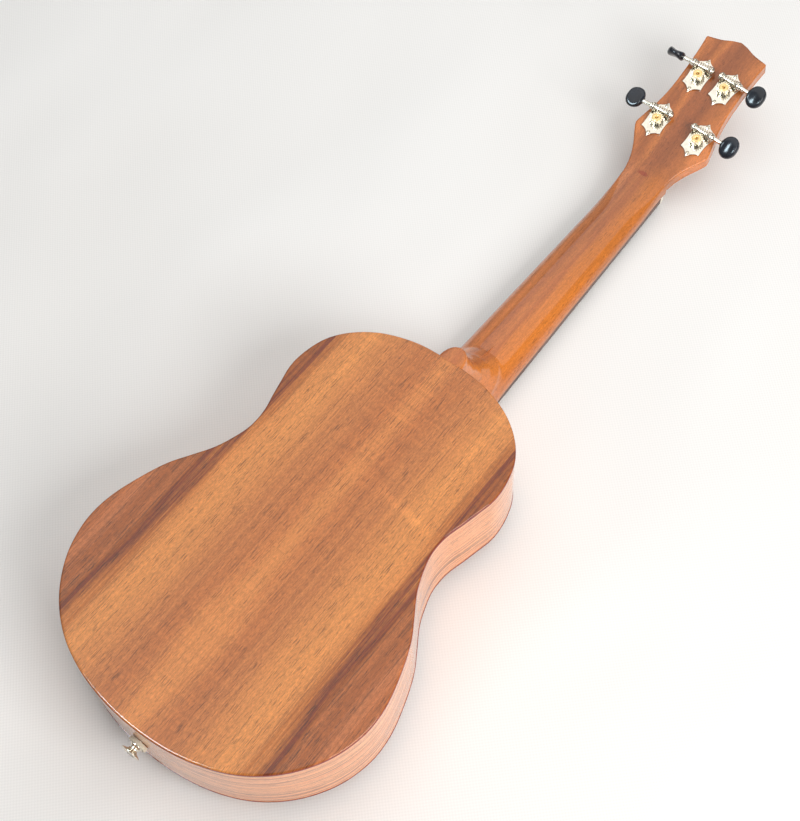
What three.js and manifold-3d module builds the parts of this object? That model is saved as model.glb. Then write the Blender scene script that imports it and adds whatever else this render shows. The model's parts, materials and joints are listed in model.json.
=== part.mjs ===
// Tenor ukulele, 430 mm scale, four open-gear tuners, lying face down (back plate up).
// Units are millimetres. Design frame: x across, y from the tail to the head, z = 0 on the outer face
// of the back and negative towards the soundboard. The last lines move the whole object so that its
// origin is the middle of its footprint, with the strings' lowest point at z = 0.
// Seen from the back, +x is the side of the G and C strings.
import * as THREE from 'three';
import { mergeVertices } from 'three/addons/utils/BufferGeometryUtils.js';
import Module from 'manifold-3d';

const wasm = await Module();
wasm.setup();

// ---- driving dimensions ---------------------------------------------------------------------------
const GAP = 0.3;                 // clearance between pieces that touch on the real object
const DEPTH = 58.5;              // outside depth of the body
const PLATE = 2.2;               // thickness of the back and of the soundboard
const RIB = 2.0;                 // thickness of the bent sides
const LINING = { width: 4.5, height: 6 };
const BODY_END = 303;            // length of the body
const SCALE = 430;               // vibrating string length
const NUT_Y = 540;               // front edge of the nut, the zero of the scale
const SADDLE_Y = NUT_Y - SCALE + 1.5;
const FRETS = 18;
const HOLE = { y: 217, r: 31 };  // sound hole
const BOARD = { thick: 5, end: 257.5, nutHalf: 17.25, jointHalf: 23.3 };
const STRING_R = 0.4;
const STRING_AT_NUT = 6.8;       // height of the string centres over the soundboard plane
const STRING_AT_SADDLE = 10.5;
const HEAD_TILT = THREE.MathUtils.degToRad(14.6);
const HEAD_Z = -46.3;            // back face of the head, carried on to y = NUT_Y
const HEAD_THICK = 9;            // wood of the head without its front veneer
const VENEER = 1.4;
const STRAP_Z = -34.5;

// Worm drive of one tuner: module, teeth and radii; heights are above the head's back face.
const GEAR = { module: 0.6, teeth: 16, tip: 5.25, root: 4.1, bottom: 2, top: 6.4, bore: 1.95 };
const PITCH_R = GEAR.module * GEAR.teeth / 2;
const LEAD = Math.PI * GEAR.module;
const WORM = { pitch: 2.55, tip: 3.0, root: 1.85, height: 4.6, half: 3.5, sides: 10 };
const AXLE_SPACING = PITCH_R + WORM.pitch;
const SHAFT_R = 1.65;
const EAR = { inner: 6.9, thick: 1.2, reach: 3.4, top: 7.7 };
const KNOB = { from: 16.7, length: 13.7, width: 17, thick: 7.6, hole: 5 };
const POST_R = 3;
const POST_OUT = 11;             // how far a post stands out of the head's front
const BORE_R = 4.6;

// One row for each tuner: string, post position across and along the head, the string's places at the
// nut and the saddle, how far the tuner is skewed on the head and how far its button is turned.
const TUNERS = [
  { name: 'g', x: 17.3, v: 44.2, atNut: 14, atSaddle: 21, skew: -3, turn: 24 },
  { name: 'c', x: 11.3, v: 90.2, atNut: 4.7, atSaddle: 7, skew: -5, turn: 20 },
  { name: 'e', x: -11.7, v: 90.8, atNut: -4.7, atSaddle: -7, skew: 0, turn: 114 },
  { name: 'a', x: -17.5, v: 44.4, atNut: -14, atSaddle: -21, skew: 0, turn: 0 },
];

// ---- materials and small helpers ------------------------------------------------------------------
const material = (color, roughness, metalness = 0) =>
  new THREE.MeshStandardMaterial({ color, roughness, metalness });
const lacqueredWood = () => material(0xb5723f, 0.25);
const rawWood = () => material(0xc9a06c, 0.75);
const spruce = () => material(0xd9b780, 0.4);
const neckWood = () => material(0x9a5a34, 0.3);
const rosewood = () => material(0x3a2219, 0.5);
const bone = () => material(0xf0ead8, 0.4);
const steel = () => material(0xd9d6cc, 0.3, 1);
const brass = () => material(0xd9b46a, 0.3, 1);
const blackPlastic = () => material(0x141a24, 0.12);
const nylon = () => material(0xe8e4da, 0.25);
const felt = () => material(0xe9dfc4, 0.9);

const ukulele = new THREE.Group();
const head = new THREE.Group();   // local y runs up the head, local z stands on its back face
head.position.set(0, NUT_Y, HEAD_Z);
head.rotation.x = HEAD_TILT;
ukulele.add(head);

function part(name, geometry, look, parent = ukulele) {
  const mesh = new THREE.Mesh(geometry, look);
  mesh.name = name;
  parent.add(mesh);
  return mesh;
}

function solid(geometry) {
  const plain = new THREE.BufferGeometry();
  plain.setAttribute('position', geometry.getAttribute('position').clone());
  if (geometry.index) plain.setIndex(geometry.index.clone());
  const merged = mergeVertices(plain, 1e-4);
  return new wasm.Manifold(new wasm.Mesh({
    numProp: 3,
    vertProperties: new Float32Array(merged.attributes.position.array),
    triVerts: new Uint32Array(merged.index.array),
  }));
}

function shape3d(manifold) {
  const mesh = manifold.getMesh();
  const geometry = new THREE.BufferGeometry();
  geometry.setAttribute('position', new THREE.BufferAttribute(mesh.vertProperties, 3));
  geometry.setIndex(new THREE.BufferAttribute(mesh.triVerts, 1));
  return geometry;
}

// Turns a closed geometry's faces outwards, whichever way its outline ran.
function facingOut(geometry) {
  const p = geometry.getAttribute('position');
  const index = geometry.index.array;
  const corner = (i) => new THREE.Vector3().fromBufferAttribute(p, index[i]);
  let volume = 0;
  for (let i = 0; i < index.length; i += 3) {
    volume += corner(i).dot(corner(i + 1).cross(corner(i + 2)));
  }
  if (volume < 0) {
    for (let i = 0; i < index.length; i += 3) [index[i], index[i + 1]] = [index[i + 1], index[i]];
  }
  return geometry;
}

// A flat outline in x and y, thick from z = low to z = high.
function slab(points, low, high, holes = []) {
  const outline = new THREE.Shape(points);
  outline.holes = holes.map((hole) => new THREE.Path(hole));
  return new THREE.ExtrudeGeometry(outline, { depth: high - low, bevelEnabled: false, steps: 1 })
    .translate(0, 0, low);
}

function block(x0, x1, y0, y1, z0, z1) {
  return new THREE.BoxGeometry(x1 - x0, y1 - y0, z1 - z0)
    .translate((x0 + x1) / 2, (y0 + y1) / 2, (z0 + z1) / 2);
}

// A bar along x from x0 to x1, whose section is given as [y, z] rows.
function bar(section, x0, x1) {
  const points = section.map(([y, z]) => new THREE.Vector2(y, z));
  const turn = new THREE.Matrix4().makeBasis(new THREE.Vector3(0, 1, 0), new THREE.Vector3(0, 0, 1),
    new THREE.Vector3(1, 0, 0));
  return slab(points, x0, x1).applyMatrix4(turn);
}

// A turned piece: profile rows are [radius, height], and the axis is local z.
function turned(profile, sides) {
  const points = profile.map(([r, h]) => new THREE.Vector2(r, h));
  return facingOut(new THREE.LatheGeometry(points, sides).rotateX(Math.PI / 2));
}

function rod(radius, low, high, sides = 16) {
  return turned([[0, low], [radius, low], [radius, high], [0, high]], sides);
}

function circle(x, y, r, sides) {
  return Array.from({ length: sides }, (_, i) => {
    const angle = (i + 0.5) / sides * 2 * Math.PI;
    return new THREE.Vector2(x + r * Math.cos(angle), y + r * Math.sin(angle));
  });
}

// A closed skin through rings of points that all have the same count, capped at both ends.
function loft(rings) {
  const count = rings[0].length;
  const position = rings.flat().flatMap((p) => [p.x, p.y, p.z]);
  const index = [];
  for (let row = 0; row + 1 < rings.length; row++) {
    for (let i = 0; i < count; i++) {
      const j = (i + 1) % count;
      const a = row * count;
      const b = a + count;
      index.push(a + i, a + j, b + j, a + i, b + j, b + i);
    }
  }
  const last = (rings.length - 1) * count;
  for (let i = 1; i + 1 < count; i++) {
    index.push(0, i + 1, i);
    index.push(last, last + i, last + i + 1);
  }
  const geometry = new THREE.BufferGeometry();
  geometry.setAttribute('position', new THREE.Float32BufferAttribute(position, 3));
  geometry.setIndex(index);
  return geometry;
}

// ---- body outline ---------------------------------------------------------------------------------
// Half of the outline from the tail to the neck joint: lower bout, waist and upper bout.
const HALF = [
  [26.6, 2], [50.5, 8], [71.3, 18], [90.8, 35], [105.9, 60], [110.8, 90], [98.1, 135], [80.3, 165],
  [72.6, 193], [79.1, 225], [82.1, 243], [75.6, 270], [56, 290], [28, 301],
];
const OUTLINE = new THREE.CatmullRomCurve3([
  [0, 0], ...HALF, [0, BODY_END], ...HALF.map(([x, y]) => [-x, y]).reverse(),
].map(([x, y]) => new THREE.Vector3(x, y, 0)), true, 'centripetal');
const OUTLINE_STEPS = 34;

// Points of the +x half from the tail to the neck, moved inwards by inset.
function halfOutline(inset) {
  return Array.from({ length: OUTLINE_STEPS + 1 }, (_, i) => {
    const t = i / OUTLINE_STEPS / 2;
    const point = OUTLINE.getPoint(t);
    const along = OUTLINE.getTangent(t);
    const end = i === 0 || i === OUTLINE_STEPS;
    return new THREE.Vector2(end ? 0 : point.x - inset * along.y, point.y + inset * along.x);
  });
}

function fullOutline(inset) {
  const right = halfOutline(inset);
  const left = right.slice(1, -1).reverse().map((p) => new THREE.Vector2(-p.x, p.y));
  return [...right, ...left];
}

function halfWidthAt(y, inset) {
  const points = halfOutline(inset);
  const i = points.findIndex((p) => p.y > y);
  const [a, b] = [points[i - 1], points[i]];
  return a.x + (b.x - a.x) * (y - a.y) / (b.y - a.y);
}

// A strip that follows one half of the outline, from inset near to inset far, outside x = middle.
function strip(side, near, far, middle, low, high) {
  const keep = (inset) => {
    const points = halfOutline(inset);
    const inside = points.filter((p) => p.x > middle + 0.5);
    const tail = points[points.indexOf(inside[0]) - 1];
    const neck = points[points.indexOf(inside.at(-1)) + 1];
    const cut = (a, b) => new THREE.Vector2(middle, a.y + (b.y - a.y) * (middle - a.x) / (b.x - a.x));
    return [cut(tail, inside[0]), ...inside, cut(inside.at(-1), neck)];
  };
  const ring = [...keep(near), ...keep(far).reverse()];
  const points = side > 0 ? ring : ring.map((p) => new THREE.Vector2(-p.x, p.y)).reverse();
  return slab(points, low, high);
}

// ---- soundbox -------------------------------------------------------------------------------------
const RIM_BACK = -PLATE - GAP;
const RIM_FRONT = -DEPTH + PLATE + GAP;
const BLOCK_HALF = 30;
const strapBore = rod(2.3, -20, 30, 12).rotateX(-Math.PI / 2).translate(0, 0, STRAP_Z);

function soundboard() {
  const ringLow = -DEPTH + 1;
  const board = solid(slab(fullOutline(0), -DEPTH, -DEPTH + PLATE, [circle(0, HOLE.y, HOLE.r, 32)]));
  const groove = solid(slab(circle(0, HOLE.y, HOLE.r + 8, 32), -DEPTH - 1, ringLow,
    [circle(0, HOLE.y, HOLE.r + 3, 32)]));
  part('top_plate', shape3d(board.subtract(groove)), lacqueredWood());
  part('rosette', slab(circle(0, HOLE.y, HOLE.r + 7.5, 32), -DEPTH, ringLow - GAP,
    [circle(0, HOLE.y, HOLE.r + 3.5, 32)]), rosewood());
}

function rim() {
  for (const [name, side] of [['bass', 1], ['treble', -1]]) {
    const rib = solid(strip(side, 0, RIB, GAP / 2, RIM_FRONT, RIM_BACK)).subtract(solid(strapBore));
    part(`side_${name}`, shape3d(rib), lacqueredWood());
    const near = RIB + GAP;
    const far = near + LINING.width;
    part(`lining_back_${name}`,
      strip(side, near, far, BLOCK_HALF + 1, RIM_BACK - LINING.height, RIM_BACK), rawWood());
    part(`lining_top_${name}`,
      strip(side, near, far, BLOCK_HALF + 1, RIM_FRONT, RIM_FRONT + LINING.height), rawWood());
  }
}

function endBlock(name, y0, y1) {
  const inside = solid(slab(fullOutline(RIB + GAP), RIM_FRONT, RIM_BACK));
  const whole = solid(block(-BLOCK_HALF, BLOCK_HALF, y0, y1, RIM_FRONT, RIM_BACK));
  part(name, shape3d(whole.intersect(inside).subtract(solid(strapBore))), rawWood());
}

function brace(name, y, width, height, low, look) {
  const room = [y - width / 2, y + width / 2].map((edge) =>
    halfWidthAt(edge, RIB + GAP + LINING.width + GAP));
  const half = Math.min(...room) - 0.5;
  part(name, block(-half, half, y - width / 2, y + width / 2, low, low + height), look);
}

function braces() {
  const backBrace = 8;
  brace('back_brace_upper', 250, 7, backBrace, RIM_BACK - backBrace, rawWood());
  brace('back_brace_middle', 178, 7, backBrace, RIM_BACK - backBrace, rawWood());
  brace('back_brace_lower', 90, 7, backBrace, RIM_BACK - backBrace, rawWood());
  brace('top_brace_upper', 264, 7, 8, RIM_FRONT, spruce());
  brace('top_brace_lower', 172, 7, 8, RIM_FRONT, spruce());
  const plate = { half: 46, y0: 94, y1: 124, thick: 2 };
  part('bridge_plate', block(-plate.half, plate.half, plate.y0, plate.y1, RIM_FRONT,
    RIM_FRONT + plate.thick), rawWood());
  const notch = solid(block(-plate.half, plate.half, plate.y0 - 0.5, plate.y1 + 0.5, RIM_FRONT - 1,
    RIM_FRONT + plate.thick + GAP));
  for (const [name, x, angle] of [['treble', -34, 0.13], ['centre', 0, 0], ['bass', 34, -0.13]]) {
    const bar = block(-3, 3, -62, 62, RIM_FRONT, RIM_FRONT + 7).rotateZ(angle).translate(x, 102, 0);
    part(`fan_brace_${name}`, shape3d(solid(bar).subtract(notch)), spruce());
  }
}

// ---- bridge, saddle and strings -------------------------------------------------------------------
const over = (height) => -DEPTH - height;   // z of a height over the soundboard
const TIE_HEIGHT = 4.9;

function bridge() {
  const half = 44;
  const section = [
    [94, GAP], [94, 4], [96, 7.6], [102.5, 7.6], [104, 6.4], [104.6, 3.6], [108, 3.6], [109, 7.4],
    [114, 7.4], [118, 4], [120, 1.6], [120, GAP],
  ].map(([y, height]) => [y, over(height)]);
  let whole = solid(bar(section, -half, half));
  for (const [x0, x1] of [[-50, -30], [30, 50]]) {
    whole = whole.subtract(solid(block(x0, x1, 90, 125, over(12), over(4.4))));
  }
  whole = whole.subtract(solid(block(-28.5, 28.5, SADDLE_Y - 1.6, SADDLE_Y + 1.6, over(12), over(3))));
  for (const { atSaddle } of TUNERS) {
    const tieHole = rod(1, -8, 8, 8).rotateX(-Math.PI / 2).translate(atSaddle, 98, over(TIE_HEIGHT));
    whole = whole.subtract(solid(tieHole));
  }
  part('bridge', shape3d(whole), rosewood());
  const crown = STRING_AT_SADDLE - STRING_R - GAP;
  const saddle = [
    [-1.3, 3.3], [1.3, 3.3], [1.3, crown - 0.1], [0.2, crown], [-1.3, crown - 1.4],
  ].map(([y, height]) => [SADDLE_Y + y, over(height)]);
  part('saddle', bar(saddle, -28, 28), bone());
}

function headPoint(x, v, w) {
  const sin = Math.sin(HEAD_TILT);
  const cos = Math.cos(HEAD_TILT);
  return new THREE.Vector3(x, NUT_Y + v * cos - w * sin, HEAD_Z + v * sin + w * cos);
}

// A string is a round rod bent at the tie hole, the saddle and the nut, ending beside its post.
function string({ name, x, v, atNut, atSaddle }) {
  const beside = x - Math.sign(x) * (POST_R + STRING_R + GAP);
  const path = [
    new THREE.Vector3(atSaddle, 92.4, over(TIE_HEIGHT)),
    new THREE.Vector3(atSaddle, 104, over(TIE_HEIGHT)),
    new THREE.Vector3(atSaddle, SADDLE_Y, over(STRING_AT_SADDLE)),
    new THREE.Vector3(atNut, NUT_Y + 1.5, over(STRING_AT_NUT)),
    headPoint(beside, v + 2, -HEAD_THICK - VENEER - GAP - 4.5),
  ];
  const rings = path.map((point, i) => {
    const before = point.clone().sub(path[Math.max(i - 1, 0)]).normalize();
    const after = path[Math.min(i + 1, path.length - 1)].clone().sub(point).normalize();
    const along = before.add(after).normalize();
    const side = new THREE.Vector3(1, 0, 0).addScaledVector(along, -along.x).normalize();
    const up = new THREE.Vector3().crossVectors(along, side);
    return Array.from({ length: 8 }, (_, k) => {
      const angle = k / 8 * 2 * Math.PI;
      return point.clone().addScaledVector(side, STRING_R * Math.cos(angle))
        .addScaledVector(up, STRING_R * Math.sin(angle));
    });
  });
  part(`string_${name}`, loft(rings), nylon());
}

// ---- neck -----------------------------------------------------------------------------------------
const boardHalf = (y) =>
  BOARD.nutHalf + (BOARD.jointHalf - BOARD.nutHalf) * (NUT_Y - y) / (NUT_Y - BODY_END);

// Section of the neck across y: flat at the fretboard, rounded on the back, squarer near the head.
function neckRing(y, half, front, back, power) {
  const steps = 16;
  return Array.from({ length: steps + 1 }, (_, i) => {
    const angle = i / steps * Math.PI;
    const c = Math.cos(angle);
    const x = half * Math.sign(c) * Math.abs(c) ** (2 / power);
    return new THREE.Vector3(x, y, front + (back - front) * Math.sin(angle) ** (2 / power));
  });
}

// Section of the heel across z: flat on the body, round at its free end.
function heelRing(z, half, end) {
  const steps = 12;
  return Array.from({ length: steps + 1 }, (_, i) => {
    const angle = i / steps * Math.PI;
    const c = Math.cos(angle);
    return new THREE.Vector3(half * Math.sign(c) * Math.abs(c) ** 0.8,
      BODY_END - 4 + (end - BODY_END + 4) * Math.sin(angle) ** 0.8, z);
  });
}

const headBack = (y) => HEAD_Z + (y - NUT_Y) * Math.tan(HEAD_TILT);

// Half of the head's outline in its own plane, from the nut end to the centre of the tip.
const HEAD_OUTLINE = [
  [20, 12.5], [24, 21.5], [29, 31], [31.2, 36.5], [31.2, 38.5], [29.6, 46], [26.5, 60], [24.8, 74],
  [24.4, 92], [24.9, 112], [25.9, 125.5], [14, 128], [6, 131.2],
];

function headOutline() {
  const right = HEAD_OUTLINE.map(([x, v]) => new THREE.Vector2(x, v));
  const left = right.map((p) => new THREE.Vector2(-p.x, p.y)).reverse();
  return [...right, new THREE.Vector2(0, 132.8), ...left];
}

function neck() {
  const front = -DEPTH;
  const stations = [
    [BODY_END + GAP, -42.6, 2.3], [345, -43.4, 2.3], [440, -45.6, 2.3], [515, -47.3, 2.3],
    [532, -47.4, 2.5], [541, -46.6, 3],
  ];
  const rings = stations.map(([y, back, power]) => neckRing(y, boardHalf(y), front, back, power));
  for (const [y, half, power] of [[547, 18.4, 4], [553, 20.6, 6]]) {
    const headFront = headBack(y) - HEAD_THICK / Math.cos(HEAD_TILT);
    rings.push(neckRing(y, half, Math.max(front, headFront), headBack(y), power));
  }
  const shaft = solid(facingOut(loft(rings)));
  const heelRings = [
    [-50, 23, 352], [-43.5, 22.4, 346], [-38, 20.4, 336], [-30, 16.8, 327.5], [-20, 13.2, 321.5],
    [-10, 10.6, 317.5], [0, 9, 315],
  ].map(([z, half, end]) => heelRing(z, half, end));
  const body = solid(slab(fullOutline(-GAP), -DEPTH - 5, 5));
  const heel = solid(facingOut(loft(heelRings))).subtract(body);
  const plate = solid(slab(headOutline(), -HEAD_THICK, 0).applyMatrix4(headMatrix()));
  let whole = shaft.add(heel).add(plate);
  for (const { x, v } of TUNERS) {
    const bore = rod(BORE_R, -30, 20, 14).translate(x, v, 0).applyMatrix4(headMatrix());
    whole = whole.subtract(solid(bore));
  }
  part('neck', shape3d(whole), neckWood());
}

function headMatrix() {
  head.updateMatrix();
  return head.matrix;
}

function headVeneer() {
  const top = -HEAD_THICK - GAP;
  let veneer = solid(slab(headOutline(), top - VENEER, top));
  for (const { x, v } of TUNERS) {
    veneer = veneer.subtract(solid(rod(BORE_R, -30, 20, 14).translate(x, v, 0)));
  }
  part('head_veneer', shape3d(veneer), lacqueredWood(), head);
}

function fretboard() {
  const low = over(GAP + BOARD.thick);
  const high = over(GAP);
  const corner = (y, side) => new THREE.Vector2(side * boardHalf(y), y);
  const outline = [corner(BOARD.end, -1), corner(BOARD.end, 1), corner(NUT_Y - GAP, 1),
    corner(NUT_Y - GAP, -1)];
  let board = solid(slab(outline, low, high));
  for (let fret = 1; fret <= FRETS; fret++) {
    const y = NUT_Y - SCALE * (1 - 2 ** (-fret / 12));
    const half = boardHalf(y) - 0.4;
    const crown = [[-1.1, 0.5], [1.1, 0.5], [0.6, -0.9], [-0.6, -0.9]];
    const wire = bar(crown.map(([dy, dz]) => [y + dy, low + dz]), -half, half);
    board = board.add(solid(wire));
  }
  part('fretboard', shape3d(board), rosewood());
}

function nut() {
  const crown = over(STRING_AT_NUT + 0.6);
  const floor = STRING_AT_NUT - STRING_R - GAP;
  const back = NUT_Y + 4.5;
  const section = [[NUT_Y, over(GAP)], [NUT_Y, crown], [NUT_Y + 1.8, crown], [back, crown + 1.3],
    [back, over(GAP)]];
  const slot = [[NUT_Y - 1, over(12)], [NUT_Y - 1, over(floor)], [NUT_Y + 1.4, over(floor)],
    [back + 1, over(floor - 1.8)], [back + 1, over(12)]];
  let whole = solid(bar(section, -BOARD.nutHalf + 0.4, BOARD.nutHalf - 0.4));
  for (const { atNut } of TUNERS) {
    whole = whole.subtract(solid(bar(slot, atNut - 0.8, atNut + 0.8)));
  }
  part('nut', shape3d(whole), bone());
}

// ---- tuners ---------------------------------------------------------------------------------------
// Star-shaped base plate: pointed cusps joined by hollow arcs, one cusp at each end and two a side.
function plateOutline() {
  const length = 16.7;
  const cusps = [[0, -length], [8, -9.9], [8.6, 5], [4.6, 10.6], [0, length]];
  const hollow = [1.6, 0.9, -0.6, 1.1];
  const right = [];
  for (let i = 0; i + 1 < cusps.length; i++) {
    const a = new THREE.Vector2(...cusps[i]);
    const b = new THREE.Vector2(...cusps[i + 1]);
    const inwards = new THREE.Vector2(a.y - b.y, b.x - a.x).normalize().multiplyScalar(hollow[i] * 1.5);
    const arc = new THREE.QuadraticBezierCurve(a, a.clone().lerp(b, 0.5).add(inwards), b);
    right.push(...arc.getPoints(3).slice(0, -1));
  }
  const left = right.slice(1).reverse().map((p) => new THREE.Vector2(-p.x, p.y));
  return [...right, new THREE.Vector2(0, length), ...left];
}

function tunerPlate(name, place, centre) {
  const base = GAP;
  const top = base + 0.9;
  let plate = solid(slab(plateOutline(), base, top).translate(0, centre, 0));
  plate = plate.subtract(solid(rod(POST_R + 0.4, -5, 5, 12)));
  for (const side of [-1, 1]) {
    const x = [side * EAR.inner, side * (EAR.inner + EAR.thick)].sort((a, b) => a - b);
    const y = [AXLE_SPACING - EAR.reach, AXLE_SPACING + EAR.reach];
    const cheek = [[y[0], base + 0.1], [y[1], base + 0.1], [y[1], EAR.top - 2], [y[1] - 1.6, EAR.top],
      [y[0] + 1.6, EAR.top], [y[0], EAR.top - 2]];
    const ear = bar(cheek, x[0], x[1]);
    plate = plate.add(solid(ear));
  }
  const bore = rod(SHAFT_R + 0.3, -12, 12, 12).rotateY(Math.PI / 2).translate(0, AXLE_SPACING, WORM.height);
  plate = plate.subtract(solid(bore));
  part(`tuner_plate_${name}`, shape3d(plate), steel(), place);
}

// Single-start right-hand worm: a trapezoid swept round the shaft.
function thread() {
  const turns = 2 * WORM.half / LEAD;
  const steps = Math.round(turns * WORM.sides);
  const [wide, narrow] = [0.48, 0.22];
  const rings = Array.from({ length: steps + 1 }, (_, i) => {
    const turn = (i / steps - 0.5) * turns;
    const angle = Math.PI + turn * 2 * Math.PI;
    const along = turn * LEAD;
    const inner = WORM.root - 0.3;
    return [[inner, -wide], [WORM.tip, -narrow], [WORM.tip, narrow], [inner, wide]].map(([r, dx]) =>
      new THREE.Vector3(along + dx, r * Math.cos(angle), r * Math.sin(angle)));
  });
  return facingOut(loft(rings));
}

function wormShaft(name, place, outwards) {
  const farEar = -(EAR.inner + EAR.thick);
  const collar = EAR.inner - 0.35;
  const profile = [
    [0, farEar - 1.3], [1.2, farEar - 1.3], [SHAFT_R - 0.1, farEar - 0.6], [SHAFT_R - 0.1, -collar],
    [2.5, -collar], [2.5, -WORM.half - 1], [WORM.root, -WORM.half - 0.6], [WORM.root, WORM.half + 0.6],
    [2.5, WORM.half + 1], [2.5, collar], [SHAFT_R, collar], [SHAFT_R, KNOB.from + KNOB.hole - GAP],
    [0, KNOB.from + KNOB.hole - GAP],
  ];
  const core = turned(profile, WORM.sides).rotateY(Math.PI / 2)
    .rotateZ(outwards > 0 ? 0 : Math.PI);
  const whole = solid(core).add(solid(thread()));
  part(`worm_shaft_${name}`, shape3d(whole), steel(), place)
    .position.set(0, AXLE_SPACING, WORM.height);
}

function tunerButton(name, place, outwards, turn) {
  const r = KNOB.width / 2;
  const half = KNOB.thick / 2;
  const profile = [
    [0, -half + 1.1], [r * 0.5, -half + 0.8], [r * 0.82, -half], [r, -half + 1.3], [r, half - 1.3],
    [r * 0.82, half], [r * 0.5, half - 0.8], [0, half - 1.1],
  ];
  const disc = turned(profile, 20).scale(KNOB.length / KNOB.width, 1, 1);
  const socket = rod(SHAFT_R + 0.3, -1, KNOB.hole, 12).rotateY(Math.PI / 2)
    .translate(-KNOB.length / 2, 0, 0);
  const shape = shape3d(solid(disc).subtract(solid(socket)));
  const mesh = part(`tuner_button_${name}`, shape, blackPlastic(), place);
  mesh.rotation.set(THREE.MathUtils.degToRad(turn), 0, outwards > 0 ? 0 : Math.PI);
  mesh.position.set(outwards * (KNOB.from + KNOB.length / 2), AXLE_SPACING, WORM.height);
}

// Worm wheel: each tooth is a trapezoid, and the teeth lean to lie along the worm's thread.
function wormWheel(name, place) {
  const tooth = 2 * Math.PI / GEAR.teeth;
  const outline = [];
  for (let i = 0; i < GEAR.teeth; i++) {
    const middle = Math.PI / 2 + (i + 0.5) * tooth;
    for (const [r, offset] of [[GEAR.root, -0.125], [GEAR.tip, -0.042], [GEAR.tip, 0.042],
      [GEAR.root, 0.125]]) {
      const angle = middle + offset;
      outline.push(new THREE.Vector2(r * Math.cos(angle), r * Math.sin(angle)));
    }
  }
  const wheel = slab(outline, GEAR.bottom, GEAR.top, [circle(0, 0, GEAR.bore, 8)]);
  const lean = LEAD / (2 * Math.PI * WORM.pitch) / PITCH_R;
  const p = wheel.getAttribute('position');
  for (let i = 0; i < p.count; i++) {
    const point = new THREE.Vector3().fromBufferAttribute(p, i);
    point.applyAxisAngle(new THREE.Vector3(0, 0, 1), lean * (point.z - WORM.height));
    p.setXYZ(i, point.x, point.y, point.z);
  }
  part(`tuner_gear_${name}`, wheel, brass(), place);
}

function stringPost(name, place) {
  const front = -HEAD_THICK - VENEER - GAP;
  const end = front - POST_OUT;
  const profile = [
    [0, end], [POST_R - 0.5, end], [POST_R, end + 0.5], [POST_R, end + 3], [POST_R - 0.6, end + 4.2],
    [POST_R - 0.6, end + 6.4], [POST_R, end + 7.6], [POST_R, GEAR.bottom - GAP],
    [GEAR.bore - 0.45, GEAR.bottom - GAP], [GEAR.bore - 0.45, GEAR.top], [0, GEAR.top],
  ];
  const hole = rod(0.8, -6, 6, 8).rotateX(Math.PI / 2).translate(0, 0, end + 5.3);
  const post = solid(turned(profile, 12)).subtract(solid(hole));
  part(`string_post_${name}`, shape3d(post), steel(), place);
}

function bushing(name, place) {
  const front = -HEAD_THICK - VENEER - GAP;
  const bore = POST_R + 0.35;
  const profile = [
    [bore, front + 6], [bore, front - 1.5], [5.4, front - 1.5], [5.9, front - 1], [5.9, front - GAP],
    [BORE_R - 0.3, front - GAP], [BORE_R - 0.3, front + 6], [bore, front + 6],
  ];
  part(`post_bushing_${name}`, turned(profile, 14), steel(), place);
}

// ---- strap button ---------------------------------------------------------------------------------
function strapButton() {
  const aim = (geometry) => geometry.rotateX(Math.PI / 2).translate(0, 0, STRAP_Z);
  const washer = [[2.4, GAP], [6.3, GAP], [6.3, 2.8], [2.4, 2.8], [2.4, GAP]];
  part('felt_washer', aim(turned(washer, 16)), felt());
  const button = [
    [2.4, 3.1], [4.4, 3.1], [3.6, 4], [3, 5.2], [3.2, 6.2], [5.2, 7.3], [6.6, 8], [6.6, 8.5],
    [6, 8.9], [3.9, 8.9], [3.9, 7.6], [2.4, 7.6], [2.4, 3.1],
  ];
  part('strap_button', aim(turned(button, 16)), steel());
  const screw = [[0, -22], [1.6, -20], [1.8, -18], [1.8, 7.9], [3.4, 7.9], [3.2, 8.6], [0, 8.9]];
  part('strap_screw', aim(turned(screw, 12)), steel());
}

// ---- assembly -------------------------------------------------------------------------------------
part('back_plate', slab(fullOutline(0), -PLATE, 0), lacqueredWood());
soundboard();
rim();
endBlock('neck_block', BODY_END - 21, BODY_END);
endBlock('tail_block', 0, 15);
braces();
bridge();
neck();
headVeneer();
fretboard();
nut();
strapButton();
const PLATE_CENTRE = 1.8;         // the plate's centre is this far up the head from the post
for (const tuner of TUNERS) {
  const place = new THREE.Group();
  place.position.set(tuner.x, tuner.v, 0);
  place.rotation.z = THREE.MathUtils.degToRad(tuner.skew);
  head.add(place);
  tunerPlate(tuner.name, place, PLATE_CENTRE);
  wormShaft(tuner.name, place, Math.sign(tuner.x));
  tunerButton(tuner.name, place, Math.sign(tuner.x), tuner.turn);
  wormWheel(tuner.name, place);
  stringPost(tuner.name, place);
  bushing(tuner.name, place);
  string(tuner);
}

ukulele.updateMatrixWorld(true);
const bounds = new THREE.Box3().setFromObject(ukulele);
const centre = bounds.getCenter(new THREE.Vector3());
ukulele.position.set(-centre.x, -centre.y, -bounds.min.z);

export default ukulele;
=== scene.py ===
"""Looks of a tenor ukulele lying face down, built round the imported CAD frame.

Lengths in this script are millimetres in the design frame: x across (0 is the centre line), y from
the tail to the head, and z = 0 on the outer face of the back, negative towards the soundboard.
at() turns them into the row frame's metres.
"""
import json

import bmesh
import bpy
import numpy as np
from mathutils import Matrix, Vector
from mathutils.geometry import tessellate_polygon


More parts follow.
